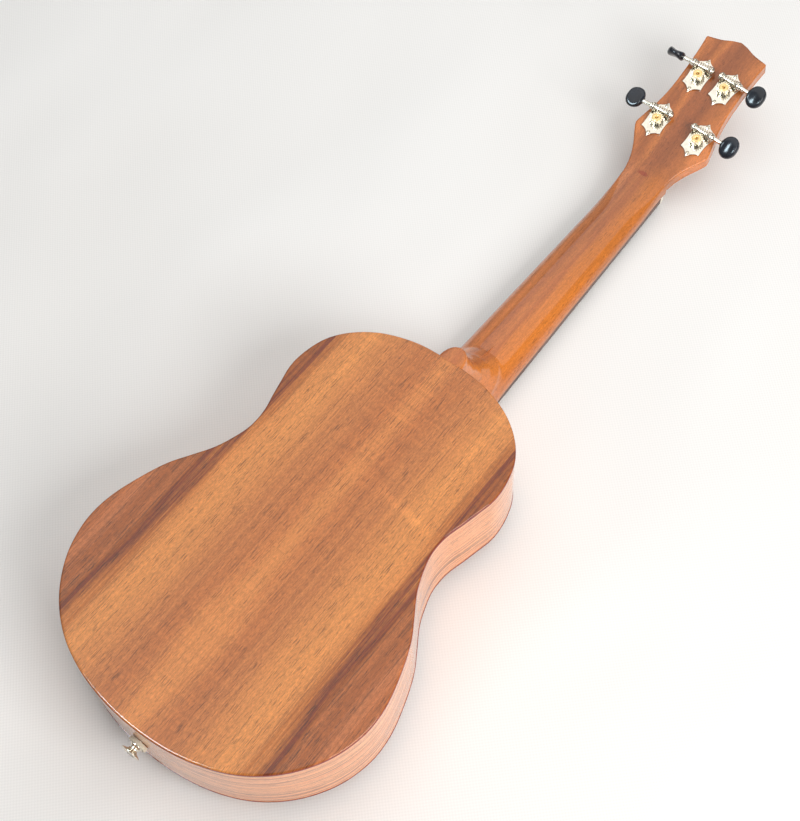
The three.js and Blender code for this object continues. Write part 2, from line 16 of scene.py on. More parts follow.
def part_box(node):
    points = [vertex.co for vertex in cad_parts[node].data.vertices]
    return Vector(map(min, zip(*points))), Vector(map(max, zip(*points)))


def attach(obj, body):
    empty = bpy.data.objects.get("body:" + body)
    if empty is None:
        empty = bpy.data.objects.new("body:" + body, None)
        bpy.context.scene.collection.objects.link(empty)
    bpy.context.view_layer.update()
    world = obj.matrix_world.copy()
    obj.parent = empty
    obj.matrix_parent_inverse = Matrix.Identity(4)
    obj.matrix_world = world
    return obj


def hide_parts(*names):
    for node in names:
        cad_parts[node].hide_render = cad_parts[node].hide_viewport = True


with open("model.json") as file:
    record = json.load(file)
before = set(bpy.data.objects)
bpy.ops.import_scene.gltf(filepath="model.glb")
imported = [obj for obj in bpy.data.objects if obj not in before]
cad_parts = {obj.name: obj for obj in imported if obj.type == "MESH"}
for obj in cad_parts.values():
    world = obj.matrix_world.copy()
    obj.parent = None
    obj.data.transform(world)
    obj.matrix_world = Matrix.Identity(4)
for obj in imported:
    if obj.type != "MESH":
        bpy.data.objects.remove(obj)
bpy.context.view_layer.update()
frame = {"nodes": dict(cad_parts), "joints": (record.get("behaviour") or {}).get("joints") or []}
nodes = frame["nodes"]
joints = {j["name"]: j for j in frame["joints"]}

# ---- sizes read from the frame ----
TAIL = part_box("back_plate")[0].y * 1000
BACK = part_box("back_plate")[1].z * 1000


def span(node, axis):
    """Lowest and highest value of a CAD node along an axis, in the design frame's millimetres."""
    low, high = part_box(node)
    shift = (0, TAIL, BACK)[axis]
    return low[axis] * 1000 - shift, high[axis] * 1000 - shift


def at(points):
    """Design millimetres to row metres."""
    return (np.asarray(points, float) + (0, TAIL, BACK)) / 1000


def local(point):
    """Row metres to design millimetres."""
    return np.array(point, float) * 1000 - (0, TAIL, BACK)


PLATE = -span("back_plate", 2)[0]
BODY_END = span("back_plate", 1)[1]
FRONT = span("top_plate", 2)[0]
NUT_Y = span("nut", 1)[0]
SADDLE_Y = sum(span("saddle", 1)) / 2
SCALE = NUT_Y - SADDLE_Y + 1.5
HOLE_Y = sum(span("rosette", 1)) / 2
HOLE_R = (span("rosette", 1)[1] - span("rosette", 1)[0]) / 2 - 7.5
STRAP_Z = sum(span("strap_button", 2)) / 2
STRINGS = {"g": (14, 21), "c": (4.7, 7), "e": (-4.7, -7), "a": (-14, -21)}  # x at nut, at saddle

# The head's own frame: v runs up the head from the nut, w stands out of its back face.
POST_AXIS = Vector(joints["post_turn_e"]["axis"])
HEAD_TILT = np.arctan2(-POST_AXIS.y, POST_AXIS.z)
POST_AT = local(joints["post_turn_e"]["pos_m"])
HEAD_Z = POST_AT[2] - (POST_AT[1] - NUT_Y) * np.tan(HEAD_TILT)
HEAD_THICK = 9
VENEER = 1.7
UP_HEAD = np.array([0, np.cos(HEAD_TILT), np.sin(HEAD_TILT)])
OFF_HEAD = np.array([0, -np.sin(HEAD_TILT), np.cos(HEAD_TILT)])


def on_head(x, v, w):
    """Design millimetres of a point given in the head's own frame."""
    return np.array([x, NUT_Y, HEAD_Z]) + v * UP_HEAD + w * OFF_HEAD


# ---- camera ----
# Target and distance in design millimetres, angles in degrees, lens in millimetres.
CAMERA = {"target": (-3.25, 254.05, 0), "distance": 871.6, "azimuth": 41.94, "elevation": 59.72,
          "roll": -4.42, "lens": 60.08}


def make_camera():
    az, el, roll = (np.radians(CAMERA[k]) for k in ("azimuth", "elevation", "roll"))
    back = Vector((np.sin(az) * np.cos(el), -np.cos(az) * np.cos(el), np.sin(el)))
    level = Vector((np.cos(az), np.sin(az), 0))
    upright = back.cross(level)
    right = level * np.cos(roll) + upright * np.sin(roll)
    up = upright * np.cos(roll) - level * np.sin(roll)
    camera = bpy.data.objects.new("camera", bpy.data.cameras.new("camera"))
    camera.data.lens = CAMERA["lens"]
    camera.data.clip_start = 0.01
    bpy.context.scene.collection.objects.link(camera)
    turn = Matrix((right, up, back)).transposed().to_4x4()
    place = Vector(at(CAMERA["target"])) + back * CAMERA["distance"] / 1000
    camera.matrix_world = Matrix.Translation(place) @ turn
    bpy.context.scene.camera = camera


make_camera()


# ---- mesh helpers ----
AXIS_R = 0.002      # mm: a radius that stands for a point on the axis
WELD = 1e-6         # metres: points closer than this become one
FLAT_RIM = 0.3      # mm: width of the flat ring inside a rounded edge


def piece(name, body, look, slot, verts, faces, replaces=(), place=None, sharp=35, uv=None):
    """Makes one object from millimetre points. place is a matrix from the points' own frame."""
    verts = np.asarray(verts, float)
    if place is None:
        verts = at(verts)
    else:
        spin = np.array(place.to_3x3())
        verts = verts / 1000 @ spin.T + np.array(place.translation)
    mesh = bpy.data.meshes.new(name)
    mesh.from_pydata(verts.tolist(), [], [list(map(int, f)) for f in faces])
    if uv is not None:
        layer = mesh.uv_layers.new(name="grain")
        for loop in mesh.loops:
            layer.data[loop.index].uv = uv[loop.vertex_index]
    work = bmesh.new()
    work.from_mesh(mesh)
    bmesh.ops.remove_doubles(work, verts=work.verts, dist=WELD)
    bmesh.ops.recalc_face_normals(work, faces=work.faces)
    work.to_mesh(mesh)
    work.free()
    mesh.shade_smooth()
    mesh.set_sharp_from_angle(angle=np.radians(sharp))
    mesh.materials.append(look)
    obj = bpy.data.objects.new(name, mesh)
    bpy.context.scene.collection.objects.link(obj)
    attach(obj, body)
    if replaces:
        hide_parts(*replaces)
    return obj


def joined(*parts):
    """Several (verts, faces) lists as one."""
    verts, faces = [], []
    for part_verts, part_faces in parts:
        faces += [[i + len(verts) for i in face] for face in part_faces]
        verts += [tuple(v) for v in part_verts]
    return verts, faces


def loft(rings, caps=True):
    """A skin through closed rings that all have the same count."""
    count = len(rings[0])
    verts = [tuple(p) for ring in rings for p in ring]
    faces = []
    for row in range(len(rings) - 1):
        for i in range(count):
            j = (i + 1) % count
            a, b = row * count, (row + 1) * count
            faces.append((a + i, a + j, b + j, b + i))
    if caps:
        faces.append(tuple(range(count))[::-1])
        faces.append(tuple(range(len(verts) - count, len(verts))))
    return verts, faces


def turned(profile, sides=48):
    """A turned piece: profile rows are (radius, height); rows on the axis close it."""
    angles = np.arange(sides) / sides * 2 * np.pi
    rings = []
    for radius, height in profile:
        r = max(radius, AXIS_R)
        rings.append(np.stack([r * np.cos(angles), r * np.sin(angles), np.full(sides, height)], 1))
    closed = tuple(profile[0]) == tuple(profile[-1])
    return loft(rings, caps=not closed)


def smooth_curve(points, steps, closed=False):
    """Centripetal Catmull-Rom curve through points, with the same number of steps in each span."""
    points = np.asarray(points, float)
    if closed:
        around = np.vstack([points[-1], points, points[:2]])
    else:
        around = np.vstack([2 * points[0] - points[1], points, 2 * points[-1] - points[-2]])
    rows = []
    for p0, p1, p2, p3 in zip(around, around[1:], around[2:], around[3:]):
        d0, d1, d2 = (np.linalg.norm(b - a) ** 0.5 for a, b in ((p0, p1), (p1, p2), (p2, p3)))
        leave = (p1 - p0) / d0 - (p2 - p0) / (d0 + d1) + (p2 - p1) / d1
        reach = (p2 - p1) / d1 - (p3 - p1) / (d1 + d2) + (p3 - p2) / d2
        t = (np.arange(steps) / steps)[:, None]
        rows.append((2 * t**3 - 3 * t**2 + 1) * p1 + (t**3 - 2 * t**2 + t) * leave * d1
                    + (-2 * t**3 + 3 * t**2) * p2 + (t**3 - t**2) * reach * d1)
    if not closed:
        rows.append(points[-1:])
    return np.vstack(rows)


def spaced(points, count, closed=False):
    """The same line with count points, evenly spaced along it."""
    points = np.asarray(points, float)
    if closed:
        points = np.vstack([points, points[:1]])
    run = np.concatenate([[0], np.cumsum(np.linalg.norm(np.diff(points, axis=0), axis=1))])
    places = np.linspace(0, run[-1], count, endpoint=not closed)
    return np.stack([np.interp(places, run, points[:, k]) for k in range(points.shape[1])], 1)


def ring_line(x, y, r, count=96, clockwise=False):
    """A circle as a closed line."""
    angles = np.arange(count) / count * 2 * np.pi * (-1 if clockwise else 1)
    return np.stack([x + r * np.cos(angles), y + r * np.sin(angles)], 1)


def inwards(points, distance):
    """A closed outline moved into its material: to the left of its direction."""
    points = np.asarray(points, float)
    ahead = np.roll(points, -1, 0) - points
    ahead /= np.linalg.norm(ahead, axis=1)[:, None]
    left = np.stack([-ahead[:, 1], ahead[:, 0]], 1)
    corner = left + np.roll(left, 1, 0)
    corner /= np.maximum((corner**2).sum(1) / 2, 0.35)[:, None]
    return points + corner * distance


def slab(outline, low, high, round_low=0.0, round_high=0.0, holes=()):
    """A flat plate whose edges are rounded. The outline runs anticlockwise, the holes clockwise.
    A last ring inside each rounding keeps the flat face's shading flat."""
    levels = []
    for edge, radius, sign in ((low, round_low, 1), (high, round_high, -1)):
        steps = [1.0] if radius == 0 else [0.0, 0.25, 0.5, 0.75, 1.0]
        bend = [t * np.pi / 2 for t in steps]
        rows = [(radius * (1 - np.sin(a)), edge + sign * radius * (1 - np.cos(a))) for a in bend]
        if radius:
            rows.insert(0, (radius + FLAT_RIM, edge))
        levels += rows if sign > 0 else rows[::-1]
    verts, faces, bottom, top = [], [], [], []
    for line in (outline, *holes):
        count = len(line)
        start = len(verts)
        for inset, z in levels:
            ring = inwards(line, inset) if inset else np.asarray(line, float)
            verts += [(p[0], p[1], z) for p in ring]
        for row in range(len(levels) - 1):
            for i in range(count):
                j = (i + 1) % count
                a, b = start + row * count, start + (row + 1) * count
                faces.append((a + i, a + j, b + j, b + i))
        bottom.append(range(start, start + count))
        top.append(range(len(verts) - count, len(verts)))
    for loops in (bottom, top):
        index = [i for loop in loops for i in loop]
        shape = [[Vector((verts[i][0], verts[i][1], 0)) for i in loop] for loop in loops]
        faces += [tuple(index[k] for k in face) for face in tessellate_polygon(shape)]
    return verts, faces


def tube(path, radius, sides=12):
    """A round tube along a path, with closed ends."""
    path = np.asarray(path, float)
    along = np.gradient(path, axis=0)
    along /= np.linalg.norm(along, axis=1)[:, None]
    side = np.cross(along[0], (0, 0, 1) if abs(along[0][2]) < 0.9 else (1, 0, 0))
    angles = np.arange(sides) / sides * 2 * np.pi
    rings = []
    for point, ahead in zip(path, along):
        side = side - ahead * side.dot(ahead)
        side /= np.linalg.norm(side)
        other = np.cross(ahead, side)
        rings.append(point + radius * (np.cos(angles)[:, None] * side + np.sin(angles)[:, None] * other))
    return loft(rings)


def ease(t):
    """A smooth step from 0 to 1."""
    t = np.clip(t, 0, 1)
    return t * t * (3 - 2 * t)


# ---- materials ----
HAZE = (0.052, 0.058, 0.06)    # what the lacquer's gloss adds to every colour under this light
GAIN = 0.93                     # how bright a white surface stands in this light


def seen(r, g, b, gloss=True):
    """Albedo of a surface that is seen as this screen colour."""
    linear = [((c / 255 + 0.055) / 1.055) ** 2.4 for c in (r, g, b)]
    own = [c - (haze if gloss else 0) for c, haze in zip(linear, HAZE)]
    return tuple(max(c, 0.004) / GAIN for c in own) + (1.0,)


class Look:
    """A procedural material, with its nodes added by short calls."""

    def __init__(self, name, **shader):
        self.material = bpy.data.materials.new(name)
        self.material.use_nodes = True
        self.tree = self.material.node_tree
        self.shader = self.tree.nodes["Principled BSDF"]
        for socket, value in shader.items():
            self.shader.inputs[socket.replace("_", " ")].default_value = value

    def node(self, kind, inputs, **settings):
        made = self.tree.nodes.new(kind)
        for name, value in settings.items():
            setattr(made, name, value)
        for socket, value in inputs.items():
            if isinstance(value, bpy.types.NodeSocket):
                self.tree.links.new(value, made.inputs[socket])
            else:
                made.inputs[socket].default_value = value
        return made

    def place(self):
        return self.node("ShaderNodeTexCoord", {}).outputs["Object"]

    def split(self, vector):
        return self.node("ShaderNodeSeparateXYZ", {0: vector}).outputs

    def join(self, x, y, z=0.0):
        return self.node("ShaderNodeCombineXYZ", {0: x, 1: y, 2: z}).outputs[0]

    def math(self, operation, a, b=0.0):
        return self.node("ShaderNodeMath", {0: a, 1: b}, operation=operation).outputs[0]

    def noise(self, vector, per_metre, detail=2.0, roughness=0.5, distortion=0.0):
        scaled = self.node("ShaderNodeVectorMath", {0: vector, 1: per_metre}, operation="MULTIPLY")
        return self.node("ShaderNodeTexNoise", {
            "Vector": scaled.outputs[0], "Scale": 1.0, "Detail": detail, "Roughness": roughness,
            "Distortion": distortion}).outputs["Fac"]

    def between(self, value, low, high, to_low=0.0, to_high=1.0):
        return self.node("ShaderNodeMapRange", {
            "Value": value, "From Min": low, "From Max": high, "To Min": to_low, "To Max": to_high},
            interpolation_type="SMOOTHSTEP").outputs[0]

    def waver(self, vector, per_metre, reach, detail=2, roughness=0.5):
        """A shift of up to this reach either way, in metres."""
        return self.between(self.noise(vector, per_metre, detail, roughness), 0.2, 0.8, -reach, reach)

    def ramp(self, value, stops, interpolation="LINEAR"):
        made = self.node("ShaderNodeValToRGB", {0: value})
        made.color_ramp.interpolation = interpolation
        elements = made.color_ramp.elements
        while len(elements) < len(stops):
            elements.new(0.5)
        for element, (position, colour) in zip(elements, stops):
            element.position = position
            element.color = colour
        return made.outputs[0]

    def mix(self, share, a, b, blend="MIX"):
        made = self.node("ShaderNodeMix", {0: share, 6: a, 7: b}, data_type="RGBA", blend_type=blend)
        return made.outputs[2]

    def scale(self, colour, factor):
        """A colour made darker or lighter by a factor from nodes."""
        return self.mix(1.0, colour, self.join(factor, factor, factor), "MULTIPLY")

    def bump(self, height, distance, strength=1.0):
        return self.node("ShaderNodeBump", {
            "Height": height, "Distance": distance, "Strength": strength}).outputs[0]

    def finish(self, colour, roughness=None, normal=None):
        for socket, value in (("Base Color", colour), ("Roughness", roughness), ("Normal", normal)):
            if value is not None:
                self.tree.links.new(value, self.shader.inputs[socket])
        return self.material


def wood(look, colour, grain, streaks=0.07, fibres=0.16, pores=0.5, curl=0.0, pore_length=1.0):
    """Adds streaks, fibres, open pores and curl to a colour. grain runs along its own y, in metres."""
    broad = look.noise(grain, (300, 3.2, 120), 6, 0.78, 0.2)
    fine = look.noise(grain, (1250, 330 / pore_length, 900), 3, 0.8)
    tone = look.math("ADD", look.between(broad, 0.28, 0.72, 1 - streaks, 1 + streaks),
                     look.between(fine, 0.3, 0.7, -fibres, fibres))
    if curl:
        waves = look.noise(grain, (22, 170, 20), 3, 0.55, 0.8)
        where = look.between(look.noise(grain, (14, 7, 9), 1), 0.45, 0.65)
        wave = look.between(waves, 0.3, 0.7, -curl, curl)
        tone = look.math("ADD", tone, look.math("MULTIPLY", wave, where))
    dash = look.noise(grain, (1500, 75 / pore_length, 900), 2, 0.6)
    rows = look.between(look.noise(grain, (110, 6, 60), 2), 0.35, 0.6, 0.3, 1.0)
    pore = look.math("MULTIPLY", look.between(dash, 0.585, 0.625), rows)
    tone = look.math("MULTIPLY", tone, look.math("SUBTRACT", 1.0, look.math("MULTIPLY", pore, pores)))
    return look.scale(colour, tone), pore


LACQUER = {"Roughness": 0.42, "Specular_IOR_Level": 0.1, "Coat_Weight": 1.0, "Coat_Roughness": 0.05,
           "Coat_IOR": 1.5}
PORE_DEPTH = -0.0001        # metres, under the lacquer

# Colours of the back from the centre line outwards, in mm: two bookmatched boards.
BACK_BANDS = [
    (0, (216, 145, 95)), (5, (212, 142, 93)), (12, (198, 130, 88)), (20, (188, 122, 84)),
    (30, (195, 129, 88)), (42, (204, 137, 91)), (53, (218, 149, 96)), (64, (216, 146, 94)),
    (70, (206, 137, 89)), (73, (178, 116, 78)), (77, (126, 80, 54)), (79.5, (156, 99, 69)),
    (86, (182, 117, 83)), (92, (166, 106, 77)), (99, (190, 124, 90)), (106, (178, 114, 82)),
]


def body_wood(name, face_z, has_flame):
    """Two bookmatched boards; below the face at face_z, in metres, their rounded edges get painted shade, a
    darker red-brown where the edge rolls over to the side.
    """
    look = Look(name, **LACQUER)
    x, y, z = look.split(look.place())
    mirrored = look.math("ABSOLUTE", x)
    flat = look.join(mirrored, y)
    drift = look.waver(flat, (9, 5, 1), 0.006)
    wander = look.waver(flat, (150, 2.5, 1), 0.007, 5, 0.75)
    shifted = look.math("ADD", look.math("ADD", mirrored, drift), wander)
    share = look.math("DIVIDE", shifted, BACK_BANDS[-1][0] / 1000)
    stops = [(place / BACK_BANDS[-1][0], seen(*colour)) for place, colour in BACK_BANDS]
    colour = look.ramp(share, stops)
    colour, pore = wood(look, colour, flat, streaks=0.14, fibres=0.22, pores=0.55, curl=0.1)
    lines = look.between(look.noise(look.join(shifted, y), (620, 2.2, 1), 3, 0.7), 0.56, 0.6)
    dark_board = look.between(shifted, 0.05, 0.08, 0.1, 0.5)
    colour = look.scale(colour, look.math("SUBTRACT", 1.0, look.math("MULTIPLY", lines, dark_board)))
    if has_flame:
        colour = look.scale(colour, flame(look, x, y))
    # Painted shade: the rounded edge turns darker red-brown below the face, the dark line where it rolls
    # over to the side.
    depth = look.math("ABSOLUTE", look.math("SUBTRACT", face_z, z))
    colour = look.mix(look.between(depth, 0.0001, 0.0012), colour, seen(140, 72, 40))
    return look.finish(colour, normal=look.bump(pore, PORE_DEPTH, 0.15))


def flame(look, x, y):
    """A light streak of curl across the grain of one board, beside the waist."""
    level = look.math("ADD", y, look.math("MULTIPLY", x, 0.12))
    off = look.math("SUBTRACT", level, (TAIL + 205) / 1000)
    ragged = look.waver(look.join(x, y), (500, 60, 1), 0.002)
    near = look.between(look.math("ABSOLUTE", look.math("ADD", off, ragged)), 0.0, 0.005, 1.0, 0.0)
    across = look.math("MULTIPLY", look.between(x, 0.016, 0.026), look.between(x, 0.068, 0.05))
    return look.math("ADD", 1.0, look.math("MULTIPLY", look.math("MULTIPLY", near, across), 0.2))


def side_wood():
    look = Look("lacquered_side", **LACQUER)
    along, height, _ = look.split(look.node("ShaderNodeUVMap", {}, uv_map="grain").outputs[0])
    grain = look.join(height, along)
    waver = look.waver(grain, (30, 6, 1), 0.003)
    bent = look.join(look.math("ADD", height, waver), along)
    bands = look.noise(bent, (260, 3.5, 1), 3, 0.7)
    colour = look.ramp(bands, [(0.36, seen(206, 134, 98)), (0.46, seen(240, 172, 130)),
                               (0.56, seen(246, 176, 130)), (0.66, seen(210, 136, 98))])
    lines = look.between(look.noise(bent, (800, 2.5, 1), 3, 0.7), 0.53, 0.58, 0.0, 0.5)
    colour = look.scale(colour, look.math("SUBTRACT", 1.0, lines))
    colour, pore = wood(look, colour, grain, streaks=0.1, fibres=0.16, pores=0.5)
    return look.finish(colour, normal=look.bump(pore, PORE_DEPTH, 0.15))


# Colours across the neck and the head, by x in mm.
NECK_BANDS = [(-20, (204, 134, 98)), (-12, (212, 140, 99)), (-6, (184, 119, 89)), (-1, (200, 130, 90)),
              (3, (186, 119, 86)), (7, (206, 132, 86)), (13, (210, 132, 80)), (20, (198, 128, 88))]
HEAD_BANDS = [(-26, (214, 138, 92)), (-21, (192, 124, 86)), (-16, (162, 106, 80)), (-8, (200, 130, 88)),
              (-3, (174, 113, 84)), (5, (156, 103, 80)), (13, (168, 110, 82)), (21, (192, 125, 86)),
              (26, (218, 140, 94))]


def across(look, x, bands):
    """The bands' colour at x, in metres."""
    low, high = bands[0][0], bands[-1][0]
    share = look.node("ShaderNodeMapRange", {"Value": x, "From Min": low / 1000, "From Max": high / 1000})
    stops = [((place - low) / (high - low), seen(*colour)) for place, colour in bands]
    return look.ramp(share.outputs[0], stops)


def neck_wood():
    look = Look("lacquered_neck", **LACQUER)
    grain = look.place()
    x, y, _ = look.split(grain)
    wander = look.waver(grain, (45, 5, 30), 0.006, 3, 0.6)
    shifted = look.math("ADD", x, wander)
    where = look.between(y, (TAIL + NUT_Y - 6) / 1000, (TAIL + NUT_Y + 20) / 1000)
    darker = look.between(y, (TAIL + 380) / 1000, (TAIL + 490) / 1000, 1.0, 0.84)
    neck_colour = look.scale(across(look, shifted, NECK_BANDS), darker)
    colour = look.mix(where, neck_colour, across(look, shifted, HEAD_BANDS))
    # Painted reflection: a short dark reddish patch across the grain under the nut, standing in for the dark
    # reflection in the volute's curve.
    off = look.math("DIVIDE", look.math("SUBTRACT", y, (TAIL + 543) / 1000), 0.38)
    beside = look.math("ADD", x, 0.0025)
    squares = [look.math("MULTIPLY", side, side) for side in (beside, off)]
    from_painted_reflection = look.math("SQRT", look.math("ADD", *squares))
    ragged = look.waver(grain, (600, 900, 600), 0.001)
    edge = look.math("ADD", from_painted_reflection, ragged)
    colour = look.mix(look.between(edge, 0.0055, 0.003, 0, 0.65), colour, seen(152, 80, 52))
    mottle = look.noise(grain, (420, 130, 300), 3, 0.7)
    colour = look.scale(colour, look.between(mottle, 0.25, 0.75, 0.93, 1.07))
    colour, pore = wood(look, colour, grain, streaks=0.12, fibres=0.14, pores=0.35, pore_length=0.6)
    return look.finish(colour, normal=look.bump(pore, PORE_DEPTH, 0.12))


def plain_wood(name, light, dark, gloss, pores):
    """Open wood without the lacquer's gloss, or with a thin satin one."""
    look = Look(name, Roughness=0.55, Coat_Weight=gloss, Coat_Roughness=0.2)
    grain = look.place()
    rings = look.noise(grain, (520, 2.5, 300), 3, 0.6, 0.2)
    colour = look.mix(look.between(rings, 0.35, 0.65), seen(*dark, gloss=False), seen(*light, gloss=False))
    colour, pore = wood(look, colour, grain, streaks=0.07, fibres=0.08, pores=pores)
    return look.finish(colour, normal=look.bump(pore, -0.0002, 0.4))


def metal(name, colour, worn, roughness):
    look = Look(name, Metallic=1.0)
    place = look.place()
    cloud = look.noise(place, (220, 220, 220), 3)
    scratch = look.noise(place, (2600, 900, 2600), 4, 0.7)
    mixed = look.mix(look.between(cloud, 0.35, 0.75), colour, worn)
    rough = look.between(look.math("ADD", cloud, scratch), 0.7, 1.4, roughness * 0.7, roughness * 1.5)
    return look.finish(mixed, rough, look.bump(scratch, 0.00001, 0.25))


def plastic():
    look = Look("black_plastic", Coat_Weight=0.3, Coat_Roughness=0.1, Specular_IOR_Level=0.35)
    place = look.place()
    cloud = look.noise(place, (120, 120, 120), 2)
    orange_peel = look.noise(place, (700, 700, 700), 2)
    colour = look.mix(look.between(cloud, 0.3, 0.7), (0.008, 0.011, 0.018, 1), (0.012, 0.017, 0.028, 1))
    rough = look.between(cloud, 0.3, 0.7, 0.2, 0.28)
    return look.finish(colour, rough, look.bump(orange_peel, 0.00002, 0.3))


def cloudy(name, scale, detail, light, dark, bump, rough=0.5, **shader):
    """A material that drifts between two colours, with a bump from the same noise."""
    look = Look(name, **shader)
    cloud = look.noise(look.place(), scale, detail, rough)
    colour = look.mix(look.between(cloud, 0.3, 0.7), dark, light)
    return look.finish(colour, normal=look.bump(cloud, *bump))


def nylon():
    look = Look("nylon_string", Roughness=0.25, Transmission_Weight=0.3, IOR=1.5)
    cloud = look.noise(look.place(), (300, 60, 300), 2)
    return look.finish(look.mix(cloud, (0.72, 0.7, 0.64, 1), (0.84, 0.83, 0.8, 1)))


def rosette_look():
    """Inlaid rings by distance from the middle of the hole: light lines round a darker band."""
    look = Look("rosette_inlay", Roughness=0.4, Coat_Weight=1.0, Coat_Roughness=0.05)
    x, y, _ = look.split(look.place())
    from_hole = look.math("SUBTRACT", y, (TAIL + HOLE_Y) / 1000)
    radius = look.math("SQRT", look.math("ADD", look.math("MULTIPLY", x, x),
                                         look.math("MULTIPLY", from_hole, from_hole)))
    share = look.between(radius, (HOLE_R + 3.4) / 1000, (HOLE_R + 7.6) / 1000)
    dark, light, warm = (0.03, 0.018, 0.012, 1), (0.72, 0.6, 0.4, 1), (0.2, 0.08, 0.035, 1)
    stops = [(0, dark), (0.1, light), (0.2, dark), (0.3, warm), (0.7, dark), (0.8, light), (0.9, dark)]
    colour = look.ramp(share, stops, "CONSTANT")
    fleck = look.noise(look.place(), (900, 900, 900), 3)
    return look.finish(look.scale(colour, look.between(fleck, 0.2, 0.8, 0.75, 1.2)))


BACK_WOOD = body_wood("lacquered_back", BACK / 1000, True)
TOP_WOOD = body_wood("lacquered_top", (BACK + FRONT) / 1000, False)
SIDE_WOOD = side_wood()
NECK_WOOD = neck_wood()
INNER_WOOD = plain_wood("inner_wood", (206, 170, 122), (180, 140, 96), 0.0, 0.25)
DARK_WOOD = plain_wood("rosewood", (116, 80, 62), (76, 52, 42), 0.25, 0.6)
STEEL = metal("plated_steel", (0.79, 0.74, 0.64, 1), (0.68, 0.63, 0.54, 1), 0.15)
TEETH = metal("gear_rim", (0.97, 0.88, 0.66, 1), (0.92, 0.8, 0.54, 1), 0.25)
BRASS = cloudy("gear_brass", (500, 500, 500), 3, (0.92, 0.68, 0.34, 1), (0.78, 0.5, 0.2, 1),
               (0.00003, 0.3), Metallic=1.0, Roughness=0.3)
PLASTIC = plastic()
BONE = cloudy("bone", (90, 400, 400), 3, (0.86, 0.83, 0.74, 1), (0.78, 0.73, 0.6, 1),
              (0.00003, 0.3), Roughness=0.35, Coat_Weight=0.3, Coat_Roughness=0.15)
NYLON = nylon()
FELT = cloudy("felt", (2200, 2200, 2200), 4, (0.82, 0.77, 0.64, 1), (0.66, 0.58, 0.42, 1),
              (0.0004, 0.8), 0.75, Roughness=0.95, Sheen_Weight=0.6, Sheen_Roughness=0.4)


def steel(name, mesh, replaces=(), body="instrument", **how):
    piece(name, body, STEEL, "plated_steel", *mesh, replaces, **how)


# ---- body ----
def body_outline():
    """The CAD back's outline as a smooth closed line, anticlockwise seen from the back."""
    corners = np.array([local(v.co) for v in nodes["back_plate"].data.vertices])
    corners = corners[corners[:, 2] > -0.1][:, :2]
    corners = np.unique(corners.round(3), axis=0)
    middle = np.array([0, BODY_END * 0.5])
    order = np.argsort(np.arctan2(*(corners - middle).T[::-1]))
    return spaced(smooth_curve(corners[order], 8, closed=True), 420, closed=True)


OUTLINE = body_outline()
SKIN = 0.15         # mm that the plates' inner faces stand past the CAD's, to close the joint


def back():
    verts, faces = slab(OUTLINE, -PLATE - SKIN, 0, 0.1, 1.3)
    piece("back", "instrument", BACK_WOOD, "back_wood", verts, faces, ["back_plate"], sharp=60)


def soundboard():
    edge = span("rosette", 2)[1]
    hole = ring_line(0, HOLE_Y, HOLE_R, clockwise=True)
    verts, faces = slab(OUTLINE, FRONT, FRONT + PLATE + SKIN, 1.4, 0.1, [hole])
    piece("soundboard", "instrument", TOP_WOOD, "top_wood", verts, faces, ["top_plate"], sharp=60)
    outer, inner, face = HOLE_R + 7.5, HOLE_R + 3.5, FRONT - 0.03
    ring = [(inner, face), (outer, face), (outer, edge), (inner, edge), (inner, face)]
    verts, faces = turned(ring, 128)
    verts = np.array(verts) + (0, HOLE_Y, 0)
    piece("rosette_rings", "instrument", rosette_look(), "dark_wood", verts, faces, ["rosette"])


def sides():
    """Bent sides: one strip round each half, with its distance along the bend kept for the grain."""
    thick = 2.0
    low, high = FRONT + PLATE, -PLATE
    start = np.argmin(OUTLINE[:, 1] + np.abs(OUTLINE[:, 0]) * 10)
    whole = np.roll(OUTLINE, -start, 0)
    outer = inwards(whole, 0.25)
    inner = inwards(whole, thick)
    run = np.concatenate([[0], np.cumsum(np.linalg.norm(np.diff(whole, axis=0), axis=1))])
    half = len(whole) // 2
    for name, first in (("bass", 0), ("treble", half)):
        rings, uv = [], []
        for step in range(first, first + half + 1):
            i = step % len(whole)
            rings.append([(*outer[i], low), (*outer[i], high), (*inner[i], high), (*inner[i], low)])
            uv += [(step * run[-1] / len(run) / 1000, z / 1000) for z in (low, high, high, low)]
        verts, faces = loft(rings)
        piece(f"bent_side_{name}", "instrument", SIDE_WOOD, "side_wood", verts, faces,
              [f"side_{name}"], uv=uv)


# ---- neck ----
HEEL = [(-50, 23, 352), (-43.5, 22.4, 346), (-38, 20.4, 336), (-30, 16.8, 327.5), (-20, 13.2, 321.5),
        (-10, 10.6, 317.5), (0, 9, 315)]             # z, half width, y of the heel's end
SPINE = [(300, -42.5), (345, -43.4), (440, -45.6), (515, -47.3), (532, -47.4), (541, -46.4),
         (547, -44.6), (553, -42.9)]                 # y and z along the middle of the neck's back
HEAD_HALF = [(3, 17.35), (7, 17.9), (13, 19.6), (21.5, 23.3), (31, 28.6), (36.5, 31.2), (38.5, 31.2),
             (46, 29.6), (60, 26.5), (74, 24.8), (92, 24.4), (112, 24.9), (125.5, 25.9)]  # v and half width
TIP = [(0, 132.8), (6, 131.2), (14, 128), (25.9, 125.5)]    # x and v of the end
TIP_HALF, TIP_V = TIP[-1]
NUT_HALF, JOINT_HALF = 17.25, 23.3
HEEL_CLEAR = 372            # y where the heel's fillet has run out
BLEND_FROM, HEAD_FROM = 512, 553    # y where the shaft starts to turn into the head, and where it has
THIN_AT = 543.6             # y of the step from the shaft's depth to the head's thickness
TIP_FROM = 118              # v where the head's rings start to bend with its tip
TIP_ROUND = 1.2
HEAD_ROUND = 1.5
RING_POINTS = 72


